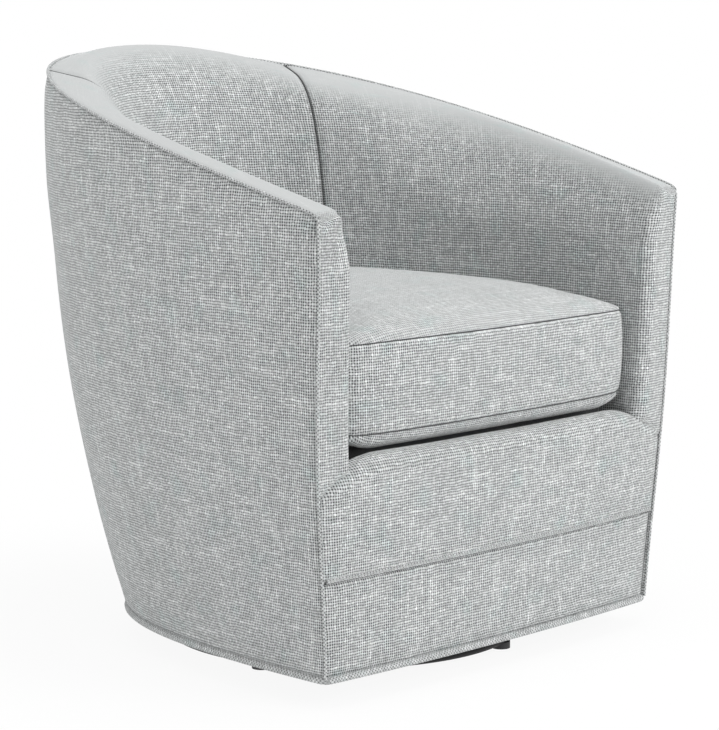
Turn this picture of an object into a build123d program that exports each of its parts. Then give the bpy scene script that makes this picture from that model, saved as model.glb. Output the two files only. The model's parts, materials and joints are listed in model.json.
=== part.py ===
"""Swivel accent chair: an upholstered barrel shell with a loose box cushion on a round swivel base.

Millimetres. +Z is up, the front faces -Y, and the origin is on the floor under the middle of the chair.
"""

import os
from functools import cache
from math import cos, radians, sin, tan

from build123d import *

# Barrel shell, measured on the outside of the cover
TOTAL_HEIGHT = 796.0
HEM_HEIGHT = 32.0
ARM_HEIGHT = 610.0
HEM_HALF_WIDTH = 317.5
ARM_HALF_WIDTH = 349.0
HEM_FRONT = 352.5
ARM_FRONT = 373.5
HEM_BACK = 221.5
TOP_BACK = 368.5
BACK_SWELL = 58.0
HEM_SIDE_BOW = 5.0
TOP_SIDE_BOW = 44.0
SIDE_REACH = 0.725
HEM_BACK_REACH = 0.72
TOP_BACK_REACH = 0.64
FRONT_BOW = 12.0
TOP_LINE_RISE = 0.09
LOFT_MARGIN = 40.0
SHELL_SECTIONS = 5
WELL_SECTIONS = 3

# Seat well, measured on the inside of the cover
ARM_THICKNESS = 57.0
SEAT_BACK = 200.0
BACK_RECLINE = 0.184
WELL_SIDE_DRAW = 10.0
WELL_SIDE_REACH = 0.62
WELL_BACK_REACH = 0.58
ROLL_RADIUS = 38.0
ARM_EDGE_RADIUS = 14.0
SEAM_APEX = 196.0
SEAM_TURN = 25.5
LINER_SPLIT = 222.0

# Upholstery layers
COVER = 2.0
WELT = 6.0
WELT_PROUD = 2.5
BOTTOM_WELT = 9.0
BOTTOM_WELT_PROUD = 3.0
SHELL_BOARD = 4.0
TOP_PADDING = 14.0
FRONT_PADDING = 12.0
LINER = 2.5
SEAM_GAP = 0.3

# Wooden frame
BOARD = 24.0
PLYWOOD = 18.0
RIM_WIDTH = 64.0
POST_WIDTH = 60.0
REAR_POST_ANGLE = 48.0
SEAT_RIM_HEIGHT = 262.0
REAR_RAIL_BACK = 165.0
CROSS_RAIL_WIDTH = 70.0
CROSS_RAIL_DEPTH = 30.0
CROSS_RAIL_OFFSET = 60.0

# Front border and kick panel
BORDER_TOP = 312.0
BORDER_END = 268.0
BORDER_SEAM = 162.0
BORDER_DEPTH = 64.0
BORDER_ROLL = 24.0
BORDER_PADDING = 14.0
KICK_RECESS = 3.0

# Springs and deck
SPRING_COUNT = 5
SPRING_SPACING = 70.0
SPRING_WIRE = 4.0
SPRING_RUNG = 28.0
SPRING_RUNGS = 21
CLIP_WALL = 2.0
CLIP_LENGTH = 24.0
CLIP_GRIP = 3.0
WEB_WIDTH = 50.0
WEB_COUNT = 4
WEB_MARGIN = 50.0

# Loose seat cushion
CUSHION_FRONT = 350.0
CUSHION_BOW = 14.0
CUSHION_CORNER = 42.0
CUSHION_GAP = 5.0
CUSHION_BOXING = 112.0
CUSHION_TOP_CROWN = 34.0
CUSHION_BOTTOM_CROWN = 22.0
CROWN_SPREAD = 126.0
CROWN_STEPS = 4
CUSHION_SIDE_SWELL = 3.0
CUSHION_CLEAR = 0.3
CUSHION_ARCS = (0, 0.35, 0.55, 0.75, 1)
ZIP_LENGTH = 400.0
ZIP_WIDTH = 14.0

# Swivel base
SWIVEL_FORWARD = 71.5
BASE_TURN = 17.8
RING_RADIUS = 238.0
RING_TUBE = 24.0
GLIDE_HEIGHT = 5.0
GLIDE_RADIUS = 13.0
GLIDE_LIP = 4.0
BASE_ARMS = 4
BASE_ARM_WIDTH = 36.0
BASE_ARM_THICKNESS = 8.0
HUB_RADIUS = 75.0
PLATE = 4.0
LOWER_PLATE_RADIUS = 84.0
UPPER_PLATE_SIDE = 190.0
RACE_RADIUS = 68.0
BALL_RADIUS = 5.5
BALL_COUNT = 18
RACE_DEPTH = 1.0
CAGE_WIDTH = 16.0
CAGE_THICKNESS = 3.0
PIN_RADIUS = 8.0
PIN_HEAD_RADIUS = 14.0
PIN_HEAD = 4.0
BUSH_WALL = 3.0
BUSH_FLANGE = 2.0
NUT_HEIGHT = 10.0
NUT_FLATS = 24.0
PIN_TIP = 3.0
BOLT_RADIUS = 4.0
BOLT_HEAD = 5.0
BOLT_FLATS = 13.0
HUB_BOLT_CIRCLE = 44.0
PLATE_BOLT_OFFSET = 75.0
TEE_NUT_RADIUS = 5.5
TEE_NUT_FLANGE = 10.0
TEE_NUT_THICKNESS = 1.5
RUN = 0.05
DUST_CLOTH = 1.0
DUST_HOLE = 140.0

# Heights that follow from the sizes above
WELT_IN = WELT - WELT_PROUD
TOP_LINE = TOTAL_HEIGHT - WELT_PROUD
RING_Z = GLIDE_HEIGHT + RING_TUBE / 2
HUB_Z = RING_Z + BASE_ARM_THICKNESS / 2
LOWER_PLATE_Z = HUB_Z + PLATE
RACE_Z = LOWER_PLATE_Z + BALL_RADIUS + RUN - RACE_DEPTH
UPPER_PLATE_Z = 2 * RACE_Z - LOWER_PLATE_Z
FLOOR_FRAME_Z = UPPER_PLATE_Z + PLATE
HEM_TOP = HEM_HEIGHT + BOTTOM_WELT
BOARD_IN = COVER + SHELL_BOARD
LINER_IN = BOARD_IN + BOARD
PAD_IN = LINER_IN + LINER
SEAT_RIM_TOP = SEAT_RIM_HEIGHT + PLYWOOD
SPRING_Z = SEAT_RIM_TOP + CLIP_WALL + SPRING_WIRE / 2
DECK_PAD_Z = SPRING_Z + SPRING_WIRE / 2 + SEAM_GAP
DECK_Z = BORDER_TOP
EDGE_RAIL_TOP = BORDER_TOP - BORDER_PADDING
CUSHION_LOW_SEAM = DECK_Z + CUSHION_CLEAR + CUSHION_BOTTOM_CROWN
CUSHION_TOP_SEAM = CUSHION_LOW_SEAM + CUSHION_BOXING
LOFT_TOP = TOTAL_HEIGHT + LOFT_MARGIN
FAR = 520.0
FRONT_LEAD = -0.06


def mix(start, end, share):
    """Value part of the way from start to end."""
    return start + (end - start) * share


def slab(low, high):
    """Everything between two heights."""
    return Pos(0, 0, (low + high) / 2) * Box(2 * FAR, 2 * FAR, high - low)


def strip_x(low, high):
    """Everything between two X values."""
    return Pos((low + high) / 2, 0, TOTAL_HEIGHT / 2) * Box(high - low, 2 * FAR, 2 * TOTAL_HEIGHT)


def strip_y(low, high):
    """Everything between two Y values."""
    return Pos(0, (low + high) / 2, TOTAL_HEIGHT / 2) * Box(2 * FAR, high - low, 2 * TOTAL_HEIGHT)


def spaced(start, end, count):
    """Values at even steps from start to end."""
    return [mix(start, end, i / (count - 1)) for i in range(count)]


def half_width(z):
    """Half the width of the barrel at its front edge."""
    return mix(HEM_HALF_WIDTH, ARM_HALF_WIDTH, (z - HEM_HEIGHT) / (ARM_HEIGHT - HEM_HEIGHT))


def front_line(z):
    """Y of the front edge at the corners of the barrel."""
    return -mix(HEM_FRONT, ARM_FRONT, (z - HEM_HEIGHT) / (ARM_HEIGHT - HEM_HEIGHT))


def back_line(z):
    """Y of the outside of the back on the centre line."""
    rise = (z - HEM_HEIGHT) / (TOTAL_HEIGHT - HEM_HEIGHT)
    return mix(HEM_BACK, TOP_BACK, rise) + 4 * BACK_SWELL * rise * (1 - rise)


def well_back_line(z):
    """Y of the inside of the back on the centre line."""
    return SEAT_BACK + BACK_RECLINE * (z - DECK_Z)


def top_line(y):
    """Height of the top edge of the shell at a distance from front to back."""
    share = (y + ARM_FRONT) / (TOP_BACK + ARM_FRONT)
    return mix(ARM_HEIGHT, TOP_LINE, share + TOP_LINE_RISE * share * (1 - share))


def barrel_points(z, inset):
    """Control points of the left half of the barrel's outline, from the front edge to the back."""
    rise = (z - HEM_HEIGHT) / (TOTAL_HEIGHT - HEM_HEIGHT)
    half = half_width(z) - inset
    front = front_line(z)
    back = back_line(z) - inset
    bow = mix(HEM_SIDE_BOW, TOP_SIDE_BOW, rise)
    reach = mix(HEM_BACK_REACH, TOP_BACK_REACH, rise)
    side = front + SIDE_REACH * (back - front)
    return [(-half, front), (-half - bow, side), (-reach * half, back), (0, back)]


def well_points(z, outset):
    """Control points of the left half of the seat well's outline, from the front edge to the back."""
    half = half_width(z) - ARM_THICKNESS + outset
    front = front_line(z)
    back = well_back_line(z) + outset
    side = front + WELL_SIDE_REACH * (back - front)
    return [(-half, front), (-half + WELL_SIDE_DRAW, side), (-WELL_BACK_REACH * half, back), (0, back)]


def run_on(points, start):
    """Control points of the same curve, begun ahead of its first point at a share below zero."""

    def blend(shares):
        level = points
        for share in shares:
            pairs = zip(level, level[1:])
            level = [(mix(a[0], b[0], share), mix(a[1], b[1], share)) for a, b in pairs]
        return level[0]

    return [blend([start] * (3 - i) + [1] * i) for i in range(4)]


def tub_face(points, z):
    """Flat outline at a height: a curved left and right side that run on past the front edge."""
    longer = run_on(points, FRONT_LEAD)
    left = Bezier(*[(x, y, z) for x, y in longer])
    right = Bezier(*[(-x, y, z) for x, y in reversed(longer)])
    return Face(Wire([left, right, Line(right @ 1, left @ 0)]))


@cache
def inside_shell(inset):
    """Everything at least inset inside the outer face of the barrel, open past the front edge."""
    heights = spaced(HEM_HEIGHT - 2 * BOTTOM_WELT, LOFT_TOP, SHELL_SECTIONS)
    return loft([tub_face(barrel_points(z, inset), z) for z in heights])


@cache
def seat_well(outset):
    """Space of the seat between the arms and the back, grown by outset."""
    heights = spaced(SEAT_RIM_HEIGHT, LOFT_TOP, WELL_SECTIONS)
    return loft([tub_face(well_points(z, outset), z) for z in heights])


@cache
def behind_front(inset):
    """Everything at least inset behind the bowed front face."""
    faces = []
    for z in (HEM_HEIGHT - 2 * BOTTOM_WELT, LOFT_TOP):
        front = front_line(z) + inset
        end = front + FRONT_BOW * ((FAR / half_width(z)) ** 2 - 1)
        arc = ThreePointArc((FAR, end, z), (0, front - FRONT_BOW, z), (-FAR, end, z))
        rest = Polyline((-FAR, end, z), (-FAR, FAR, z), (FAR, FAR, z), (FAR, end, z))
        faces.append(Face(Wire([arc] + rest.edges())))
    return loft(faces, ruled=True)


@cache
def under_top(drop):
    """Everything at least drop below the sloping top edge of the shell."""
    points = [(0, y, top_line(y) - drop) for y in (-FAR, 0, FAR)]
    arc = ThreePointArc(*points)
    floor = Polyline(points[2], (0, FAR, -FAR), (0, -FAR, -FAR), points[0])
    return extrude(Face(Wire([arc] + floor.edges())), amount=FAR, dir=(1, 0, 0), both=True)


def one(shape):
    """The single solid of a shape."""
    return shape.solids().sort_by(SortBy.VOLUME)[-1]


# Wooden frame


@cache
def board_band():
    """Layer of the shell wall that the posts and the top rim are cut from."""
    return (inside_shell(BOARD_IN) & behind_front(FRONT_PADDING)) - inside_shell(LINER_IN)


def plywood_rim(low):
    """Flat D-shaped rim that runs all the way round at one height."""
    outer = inside_shell(BOARD_IN) & behind_front(FRONT_PADDING) & slab(low, low + PLYWOOD)
    hole = inside_shell(BOARD_IN + RIM_WIDTH) & behind_front(FRONT_PADDING + RIM_WIDTH)
    return one(outer - hole)


def top_rim():
    """Sloping rim under the padding of the arm tops and the back."""
    high = TOP_PADDING
    return one((board_band() & under_top(high)) - under_top(high + PLYWOOD))


def post_zone(side, angle):
    """Box that reaches out from the middle of the chair to cut one post from the band."""
    box = Pos(FAR / 2, 0, TOTAL_HEIGHT / 2) * Box(FAR, POST_WIDTH, 2 * TOTAL_HEIGHT)
    if angle is None:
        edge = front_line(HEM_HEIGHT) + FRONT_PADDING + POST_WIDTH
        return strip_y(-FAR, edge) & strip_x(min(0, side * FAR), max(0, side * FAR))
    return Rot(0, 0, 90 - side * angle) * box


def posts():
    """Upright posts between the rims, by name."""
    places = {
        "front_left": (-1, None),
        "front_right": (1, None),
        "rear_left": (-1, REAR_POST_ANGLE),
        "rear_right": (1, REAR_POST_ANGLE),
        "back": (1, 0),
    }
    lower = board_band() & slab(FLOOR_FRAME_Z + PLYWOOD, SEAT_RIM_HEIGHT)
    upper = (board_band() & under_top(TOP_PADDING + PLYWOOD)) & slab(SEAT_RIM_TOP, TOTAL_HEIGHT)
    made = {}
    for name, (side, angle) in places.items():
        zone = post_zone(side, angle)
        made["lower_post_" + name] = one(lower & zone)
        made["upper_post_" + name] = one(upper & zone)
    return made


def front_slab(near, far, low, high, inset):
    """Board across the front between two depths, two heights and the two sides."""
    return one((inside_shell(inset) & behind_front(near) & slab(low, high)) - behind_front(far))


def front_board():
    """Board between the front posts, from the bottom rim to the seat rim."""
    near = FRONT_PADDING
    return front_slab(near, near + PLYWOOD, FLOOR_FRAME_Z + PLYWOOD, SEAT_RIM_HEIGHT, LINER_IN)


def front_edge_rail():
    """Rail on the seat rim that the front roll of the seat goes over."""
    near = FRONT_PADDING
    return front_slab(near, near + PLYWOOD, SEAT_RIM_TOP, EDGE_RAIL_TOP, PAD_IN)


def rear_seat_rail():
    """Straight rail across the seat rim that holds the back ends of the springs."""
    hole = inside_shell(BOARD_IN + RIM_WIDTH) & slab(SEAT_RIM_HEIGHT, SEAT_RIM_TOP)
    return one(hole & strip_y(REAR_RAIL_BACK - BOARD, REAR_RAIL_BACK))


def plate_bolt_places():
    """Places of the four bolts that hold the upper plate to the cross rails."""
    return GridLocations(2 * PLATE_BOLT_OFFSET, 2 * CROSS_RAIL_OFFSET, 2, 2)


def cross_rails():
    """Two rails across the bottom rim that carry the swivel."""
    low, high = FLOOR_FRAME_Z, FLOOR_FRAME_Z + CROSS_RAIL_DEPTH
    hole = inside_shell(BOARD_IN + RIM_WIDTH) & behind_front(FRONT_PADDING + RIM_WIDTH)
    holes = [on_axis(place * disc(TEE_NUT_RADIUS, low, high)) for place in plate_bolt_places()]
    rails = []
    for side in (-1, 1):
        middle = -SWIVEL_FORWARD + side * CROSS_RAIL_OFFSET
        rail = hole & strip_y(middle - CROSS_RAIL_WIDTH / 2, middle + CROSS_RAIL_WIDTH / 2) & slab(low, high)
        rails.append(one(rail - holes))
    return rails


# Shell wall


def shell_board():
    """Curved board behind the outside cover."""
    outer = inside_shell(COVER) & behind_front(FRONT_PADDING) & under_top(WELT_IN)
    return one((outer & slab(HEM_TOP, TOTAL_HEIGHT)) - inside_shell(BOARD_IN))


def outside_cover():
    """Cloth over the outside of the arms and the back."""
    outer = inside_shell(0) & behind_front(WELT_IN) & under_top(WELT_IN)
    return one((outer & slab(HEM_TOP, TOTAL_HEIGHT)) - inside_shell(COVER))


def liner_layer():
    """Layer on the inside of the posts, for the arm liners and the back webbing."""
    layer = inside_shell(LINER_IN) & behind_front(FRONT_PADDING) & under_top(TOP_PADDING)
    return (layer & slab(DECK_PAD_Z, TOTAL_HEIGHT)) - inside_shell(PAD_IN)


def arm_liners():
    """Boards on the inside of the arms, by name."""
    layer = liner_layer()
    left = layer & strip_x(-FAR, -LINER_SPLIT)
    right = layer & strip_x(LINER_SPLIT, FAR)
    return {"arm_liner_left": one(left), "arm_liner_right": one(right)}


def back_webbing():
    """Elastic straps across the back, behind the pad."""
    layer = liner_layer() & strip_x(-LINER_SPLIT, LINER_SPLIT) & strip_y(0, FAR)
    low = DECK_Z + WEB_MARGIN
    high = top_line(TOP_BACK) - TOP_PADDING - PLYWOOD - WEB_MARGIN - WEB_WIDTH
    straps = []
    for i in range(WEB_COUNT):
        z = mix(low, high, i / (WEB_COUNT - 1))
        straps.append(one(layer & slab(z, z + WEB_WIDTH)))
    return straps


def on_top_edge(edge, drop):
    """True for a long edge that runs along the sloping top."""
    point = edge @ 0.5
    return abs(point.Z - top_line(point.Y) + drop) < 1.0 and edge.length > 2 * ARM_THICKNESS


def on_front_face(edge, inset):
    """True for an edge that lies in the bowed front face."""
    point = edge @ 0.5
    bow = FRONT_BOW * ((point.X / half_width(point.Z)) ** 2 - 1)
    return abs(point.Y - front_line(point.Z) - inset - bow) < 1.0


def innermost(edges, count):
    """The edges whose middles are nearest to the centre plane."""
    return edges.sort_by(lambda e: abs((e @ 0.5).X))[:count]


@cache
def padded_wall(thinner, outside):
    """Arms and back as one padded wall with rounded inner edges, thinner by a layer all over."""
    block = inside_shell(outside) & behind_front(thinner) & under_top(thinner)
    wall = one((block & slab(DECK_PAD_Z, LOFT_TOP)) - seat_well(thinner))
    tops = ShapeList(e for e in wall.edges() if on_top_edge(e, thinner))
    wall = wall.fillet(ROLL_RADIUS - thinner, tops.sort_by(lambda e: e.length)[:2])
    uprights = ShapeList(e for e in wall.edges() if on_front_face(e, thinner) and abs((e % 0.5).Z) > 0.9)
    return one(wall.fillet(ARM_EDGE_RADIUS - thinner, innermost(uprights, 2)))


def back_wedge(grow):
    """Upright wedge between the two back seams, which meet ahead of the back, grown by a gap."""
    turn = radians(SEAM_TURN)
    tip = -SEAM_APEX - grow / sin(turn)
    side = (FAR - tip) * tan(turn)
    outline = Polyline((0, tip), (side, FAR), (-side, FAR), close=True)
    return extrude(Face(Wire(outline.edges())), amount=LOFT_TOP)


def between_seams(shape, back_name, arm_name):
    """Splits the wall at the two back seams into left arm, back and right arm, by name."""
    left = one((shape & strip_x(-FAR, 0)) - back_wedge(SEAM_GAP / 2))
    return {
        arm_name + "_left": left,
        back_name: one(shape & back_wedge(-SEAM_GAP / 2)),
        arm_name + "_right": one(mirror(left, Plane.YZ)),
    }


@cache
def wall_above_border():
    """Padded wall without the ends of the front border."""
    return padded_wall(0, WELT_IN) - border_form(0)


def inside_covers():
    """Cloth over the inside of the arms and the back, round the arm fronts and over the top."""
    skin = wall_above_border() - padded_wall(COVER, COVER)
    return between_seams(skin, "inside_back_cover", "inside_arm_cover")


def inside_pads():
    """Padding of the arms and the back, over the top rim and round the front posts."""
    padding = wall_above_border() & padded_wall(COVER, COVER) & inside_shell(BOARD_IN)
    frame = (inside_shell(0) & behind_front(FRONT_PADDING) & under_top(TOP_PADDING)) - inside_shell(PAD_IN)
    return between_seams(padding - frame, "back_pad", "arm_pad")


# Front border, kick panel and welts


@cache
def border_form(thinner):
    """Roll across the front of the seat, with rounded shoulders, thinner by a layer all over."""
    top = BORDER_TOP - thinner
    low = BORDER_SEAM - thinner
    block = one((slab(low, top) & behind_front(thinner)) - behind_front(BORDER_DEPTH + thinner))
    rolled = ShapeList(e for e in block.edges() if on_front_face(e, thinner) and (e @ 0.5).Z > top - COVER)
    block = block.fillet(BORDER_ROLL - thinner, rolled)
    flat = half_width(BORDER_TOP) - ARM_THICKNESS
    end = half_width(BORDER_END) - WELT_IN
    right = TangentArc((flat, 0, top), (end, 0, BORDER_END - thinner), tangent=(1, 0, 0))
    left = TangentArc((-flat, 0, top), (-end, 0, BORDER_END - thinner), tangent=(-1, 0, 0))
    crown = Line((-flat, 0, top), (flat, 0, top))
    skirt = Polyline(right @ 1, (end, 0, low), (-end, 0, low), left @ 1)
    shoulders = extrude(Face(Wire([crown, right, left] + skirt.edges())), amount=FAR, dir=(0, -1, 0))
    return one(block & shoulders & inside_shell(WELT_IN))


def border_frame():
    """Space behind the front border that the rails, the posts and the arm liners fill."""
    behind = behind_front(FRONT_PADDING)
    return (behind & slab(0, EDGE_RAIL_TOP)) + (behind - inside_shell(PAD_IN))


def front_borders():
    """Padding and cloth of the roll across the front of the seat, by name."""
    form = border_form(0) - border_frame()
    return {
        "front_border_pad": one(form & border_form(COVER)),
        "front_border_cover": one(form - border_form(COVER)),
    }


def front_panel(near, low, high):
    """Panel across the front between the two front welts."""
    return front_slab(near, FRONT_PADDING, low, high, WELT_IN)


def top_welt():
    """Cord along the outer top edge, from arm front to arm front."""
    band = inside_shell(-WELT_PROUD) & behind_front(-WELT_PROUD) & under_top(-WELT_PROUD)
    cord = one(band - inside_shell(WELT_IN) - under_top(WELT_IN))
    return cord.fillet(WELT_PROUD - RUN, ShapeList(e for e in cord.edges() if on_top_edge(e, -WELT_PROUD)))


def front_welts():
    """Cords down the outer front edges of the arms."""
    band = inside_shell(-WELT_PROUD) & behind_front(-WELT_PROUD) & under_top(WELT_IN)
    cords = (band & slab(HEM_TOP, TOTAL_HEIGHT)) - inside_shell(WELT_IN) - behind_front(WELT_IN)
    made = []
    for cord in cords.solids():
        outer = ShapeList(e for e in cord.edges() if on_front_face(e, -WELT_PROUD))
        uprights = outer.filter_by(lambda e: abs((e % 0.5).Z) > 0.9)
        made.append(cord.fillet(WELT_PROUD - RUN, uprights))
    return made


def bottom_welt():
    """Thick cord all the way round the bottom edge."""
    inner = BOTTOM_WELT - BOTTOM_WELT_PROUD
    outside = inside_shell(-BOTTOM_WELT_PROUD) & behind_front(-BOTTOM_WELT_PROUD)
    ring = one((outside & slab(HEM_HEIGHT, HEM_TOP)) - (inside_shell(inner) & behind_front(inner)))
    edges = ShapeList(e for e in ring.edges() if abs((e % 0.5).Z) < 0.5)
    outermost = [e for e in edges if not (inside_shell(0) & behind_front(0)).is_inside(e @ 0.5)]
    return ring.fillet(BOTTOM_WELT / 2 - RUN, outermost)


def dust_cover():
    """Thin cloth under the frame, open round the swivel."""
    inner = BOTTOM_WELT - BOTTOM_WELT_PROUD
    sheet = inside_shell(inner) & behind_front(inner) & slab(FLOOR_FRAME_Z - DUST_CLOTH, FLOOR_FRAME_Z)
    return one(sheet - Pos(0, -SWIVEL_FORWARD, FLOOR_FRAME_Z) * Cylinder(DUST_HOLE, BOTTOM_WELT))


# Springs and deck


def spring_span():
    """Y of the front and back ends of the seat springs."""
    front = front_line(SEAT_RIM_TOP) + FRONT_PADDING + RIM_WIDTH - CLIP_LENGTH
    return front, REAR_RAIL_BACK - BOARD / 2


def spring_rows():
    """X of each seat spring."""
    return [(i - (SPRING_COUNT - 1) / 2) * SPRING_SPACING for i in range(SPRING_COUNT)]


def seat_spring():
    """One zigzag spring along Y: straight rungs joined by half turns."""
    front, back = spring_span()
    pitch = (back - front) / (SPRING_RUNGS - 1)
    half = SPRING_RUNG / 2
    path = []
    for i in range(SPRING_RUNGS):
        y = front + i * pitch
        side = 1 if i % 2 == 0 else -1
        path.append(Line((-side * half, y), (side * half, y)))
        if i < SPRING_RUNGS - 1:
            path.append(ThreePointArc(
                (side * half, y), (side * (half + pitch / 2), y + pitch / 2), (side * half, y + pitch)
            ))
    start = Plane((-half, front, 0), z_dir=(1, 0, 0))
    return one(sweep(start * Circle(SPRING_WIRE / 2), path=Wire(path)))


def seat_springs():
    """Zigzag springs side by side under the deck."""
    spring = seat_spring()
    return [Pos(x, 0, SPRING_Z) * spring for x in spring_rows()]


def spring_clips():
    """Channels that hold both ends of each spring on the rim and the rear rail."""
    height = CLIP_WALL + CLIP_GRIP
    block = Pos(0, 0, SEAT_RIM_TOP + height / 2) * Box(CLIP_LENGTH, SPRING_WIRE + 2 * CLIP_WALL, height)
    channel = Pos(0, 0, SPRING_Z) * Rot(0, 90, 0) * Cylinder(SPRING_WIRE / 2 + RUN, 2 * CLIP_LENGTH)
    clip = one(block - channel)
    return [Pos(x, y, 0) * clip for x in spring_rows() for y in spring_span()]


def deck_layer(low, high):
    """Layer of the deck inside the seat well, behind the front roll."""
    return one(seat_well(-SEAM_GAP) & behind_front(BORDER_DEPTH) & slab(low, high))


# Loose seat cushion


def point_on(points, share):
    """Point of a cubic curve at a share of its length in parameter."""
    rest = 1 - share
    weights = (rest**3, 3 * rest**2 * share, 3 * rest * share**2, share**3)
    return tuple(sum(w * p[i] for w, p in zip(weights, points)) for i in (0, 1))


def share_at_y(points, y):
    """Parameter share at which a side curve passes a Y value."""
    low, high = -0.2, 0.8
    for _ in range(40):
        middle = (low + high) / 2
        if point_on(points, middle)[1] < y:
            low = middle
        else:
            high = middle
    return low


def cushion_face(z, level, inset):
    """Outline of the cushion at a height, drawn in from the seat well's outline at a level."""
    points = well_points(level, -CUSHION_GAP - inset)
    front = -CUSHION_FRONT + inset
    first = share_at_y(points, front)
    shares = [mix(first, 1, share) for share in CUSHION_ARCS]
    corner = point_on(points, first)
    bow = (0, front - CUSHION_BOW, z)
    edges = [ThreePointArc((-corner[0], corner[1], z), bow, (corner[0], corner[1], z))]
    for side in (1, -1):
        for a, b in zip(shares, shares[1:]):
            stops = [point_on(points, share) for share in (a, (a + b) / 2, b)]
            edges.append(ThreePointArc(*[(side * x, y, z) for x, y in stops]))
    face = Face(Wire(edges))
    corners = face.vertices().sort_by(lambda v: abs(v.Y - corner[1]))[:2]
    return fillet(corners, max(CUSHION_CORNER - inset / 2, CUSHION_CORNER / 4))


def crown(seam, rise, skin):
    """Domed panel from a seam to its flat middle, up or down by rise."""
    faces = []
    for i in range(CROWN_STEPS + 1):
        turn = radians(90 * i / CROWN_STEPS)
        height = seam + (rise - (skin if rise > 0 else -skin)) * sin(turn)
        faces.append(cushion_face(height, seam, skin + CROWN_SPREAD * (1 - cos(turn))))
    return loft(faces if rise > 0 else list(reversed(faces)), ruled=rise < 0)


def boxing(skin):
    """Side wall of the cushion between its two seams."""
    middle = (CUSHION_LOW_SEAM + CUSHION_TOP_SEAM) / 2
    stops = [(CUSHION_LOW_SEAM, 0), (middle, -CUSHION_SIDE_SWELL), (CUSHION_TOP_SEAM, 0)]
    return loft([cushion_face(z, z, inset + skin) for z, inset in stops])


def cushion():
    """Loose seat cushion: filling, top and bottom panels, boxing and zip, by name."""
    top = (CUSHION_TOP_SEAM, CUSHION_TOP_CROWN)
    bottom = (CUSHION_LOW_SEAM, -CUSHION_BOTTOM_CROWN)
    core = one(boxing(COVER) + crown(*top, COVER) + crown(*bottom, COVER))
    middle = (CUSHION_LOW_SEAM + CUSHION_TOP_SEAM) / 2
    opening = strip_x(-ZIP_LENGTH / 2, ZIP_LENGTH / 2) & strip_y(0, FAR)
    opening = opening & slab(middle - ZIP_WIDTH / 2, middle + ZIP_WIDTH / 2)
    wall = one(boxing(0) - core)
    return {
        "cushion_core": core,
        "cushion_top_panel": one(crown(*top, 0) - core),
        "cushion_bottom_panel": one(crown(*bottom, 0) - core),
        "cushion_boxing": one(wall - opening),
        "cushion_zip": one(wall & opening),
    }


# Swivel base, modelled about its own upright axis


def on_axis(shape):
    """Moves a piece of the swivel, or a list of like pieces, to the turning axis of the chair."""
    if isinstance(shape, list):
        return [on_axis(each) for each in shape]
    return Pos(0, -SWIVEL_FORWARD, 0) * shape


def disc(radius, low, high):
    """Round plate between two heights."""
    return Pos(0, 0, (low + high) / 2) * Cylinder(radius, high - low)


def base_angles():
    """Directions of the arms of the base, in degrees about the axis."""
    return [BASE_TURN - 90 + i * 360 / BASE_ARMS for i in range(BASE_ARMS)]


def base_ring():
    """Round steel tube on the floor glides."""
    return Pos(0, 0, RING_Z) * Torus(RING_RADIUS, RING_TUBE / 2)


def base_hub():
    """Round plate in the middle of the base."""
    hub = disc(HUB_RADIUS, HUB_Z - BASE_ARM_THICKNESS, HUB_Z)
    holes = [place * disc(BOLT_RADIUS + RUN, 0, HUB_Z + PLATE) for place in hub_bolt_places()]
    return hub - disc(PIN_RADIUS + RUN, 0, HUB_Z + PLATE) - holes


def base_arms():
    """Flat arms from the hub to the ring."""
    hub = disc(HUB_RADIUS, 0, 2 * HUB_Z)
    bar = Pos(RING_RADIUS / 2, 0, RING_Z) * Box(RING_RADIUS, BASE_ARM_WIDTH, BASE_ARM_THICKNESS)
    arm = one(bar - hub - base_ring())
    return [Rot(0, 0, angle) * arm for angle in base_angles()]


def floor_glides():
    """Round glides with a saddle for the ring, one under each arm."""
    height = GLIDE_HEIGHT + GLIDE_LIP
    glide = one(Pos(RING_RADIUS, 0, height / 2) * Cylinder(GLIDE_RADIUS, height) - base_ring())
    return [Rot(0, 0, angle) * glide for angle in base_angles()]


def hub_bolt_places():
    """Places of the bolts that hold the lower plate to the hub."""
    return PolarLocations(HUB_BOLT_CIRCLE, BASE_ARMS, start_angle=45)


def hex_bolt(seat, length):
    """Hexagon bolt that points up, with its head under a seat height."""
    head = extrude(RegularPolygon(BOLT_FLATS / 2, 6, major_radius=False), amount=-BOLT_HEAD)
    return Pos(0, 0, seat) * (head + Pos(0, 0, length / 2) * Cylinder(BOLT_RADIUS, length))


def hub_bolts():
    """Bolts up through the hub into the lower plate."""
    bolt = hex_bolt(HUB_Z - BASE_ARM_THICKNESS, BASE_ARM_THICKNESS + PLATE)
    return [place * bolt for place in hub_bolt_places()]


def race():
    """Ring of space that the balls roll in."""
    return Pos(0, 0, RACE_Z) * Torus(RACE_RADIUS, BALL_RADIUS + RUN)


def lower_plate():
    """Fixed bearing plate."""
    plate = disc(LOWER_PLATE_RADIUS, HUB_Z, LOWER_PLATE_Z) - race()
    holes = [place * disc(BOLT_RADIUS + RUN, 0, LOWER_PLATE_Z + PLATE) for place in hub_bolt_places()]
    return plate - disc(PIN_RADIUS + RUN, 0, LOWER_PLATE_Z + PLATE) - holes


def upper_plate():
    """Turning bearing plate under the cross rails."""
    middle = (UPPER_PLATE_Z + FLOOR_FRAME_Z) / 2
    plate = Pos(0, 0, middle) * Box(UPPER_PLATE_SIDE, UPPER_PLATE_SIDE, PLATE) - race()
    holes = [place * disc(BOLT_RADIUS + RUN, 0, 2 * FLOOR_FRAME_Z) for place in plate_bolt_places()]
    return plate - disc(PIN_RADIUS + BUSH_WALL, 0, 2 * FLOOR_FRAME_Z) - holes


def ball_places():
    """Places of the balls round the race."""
    return PolarLocations(RACE_RADIUS, BALL_COUNT)


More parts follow.
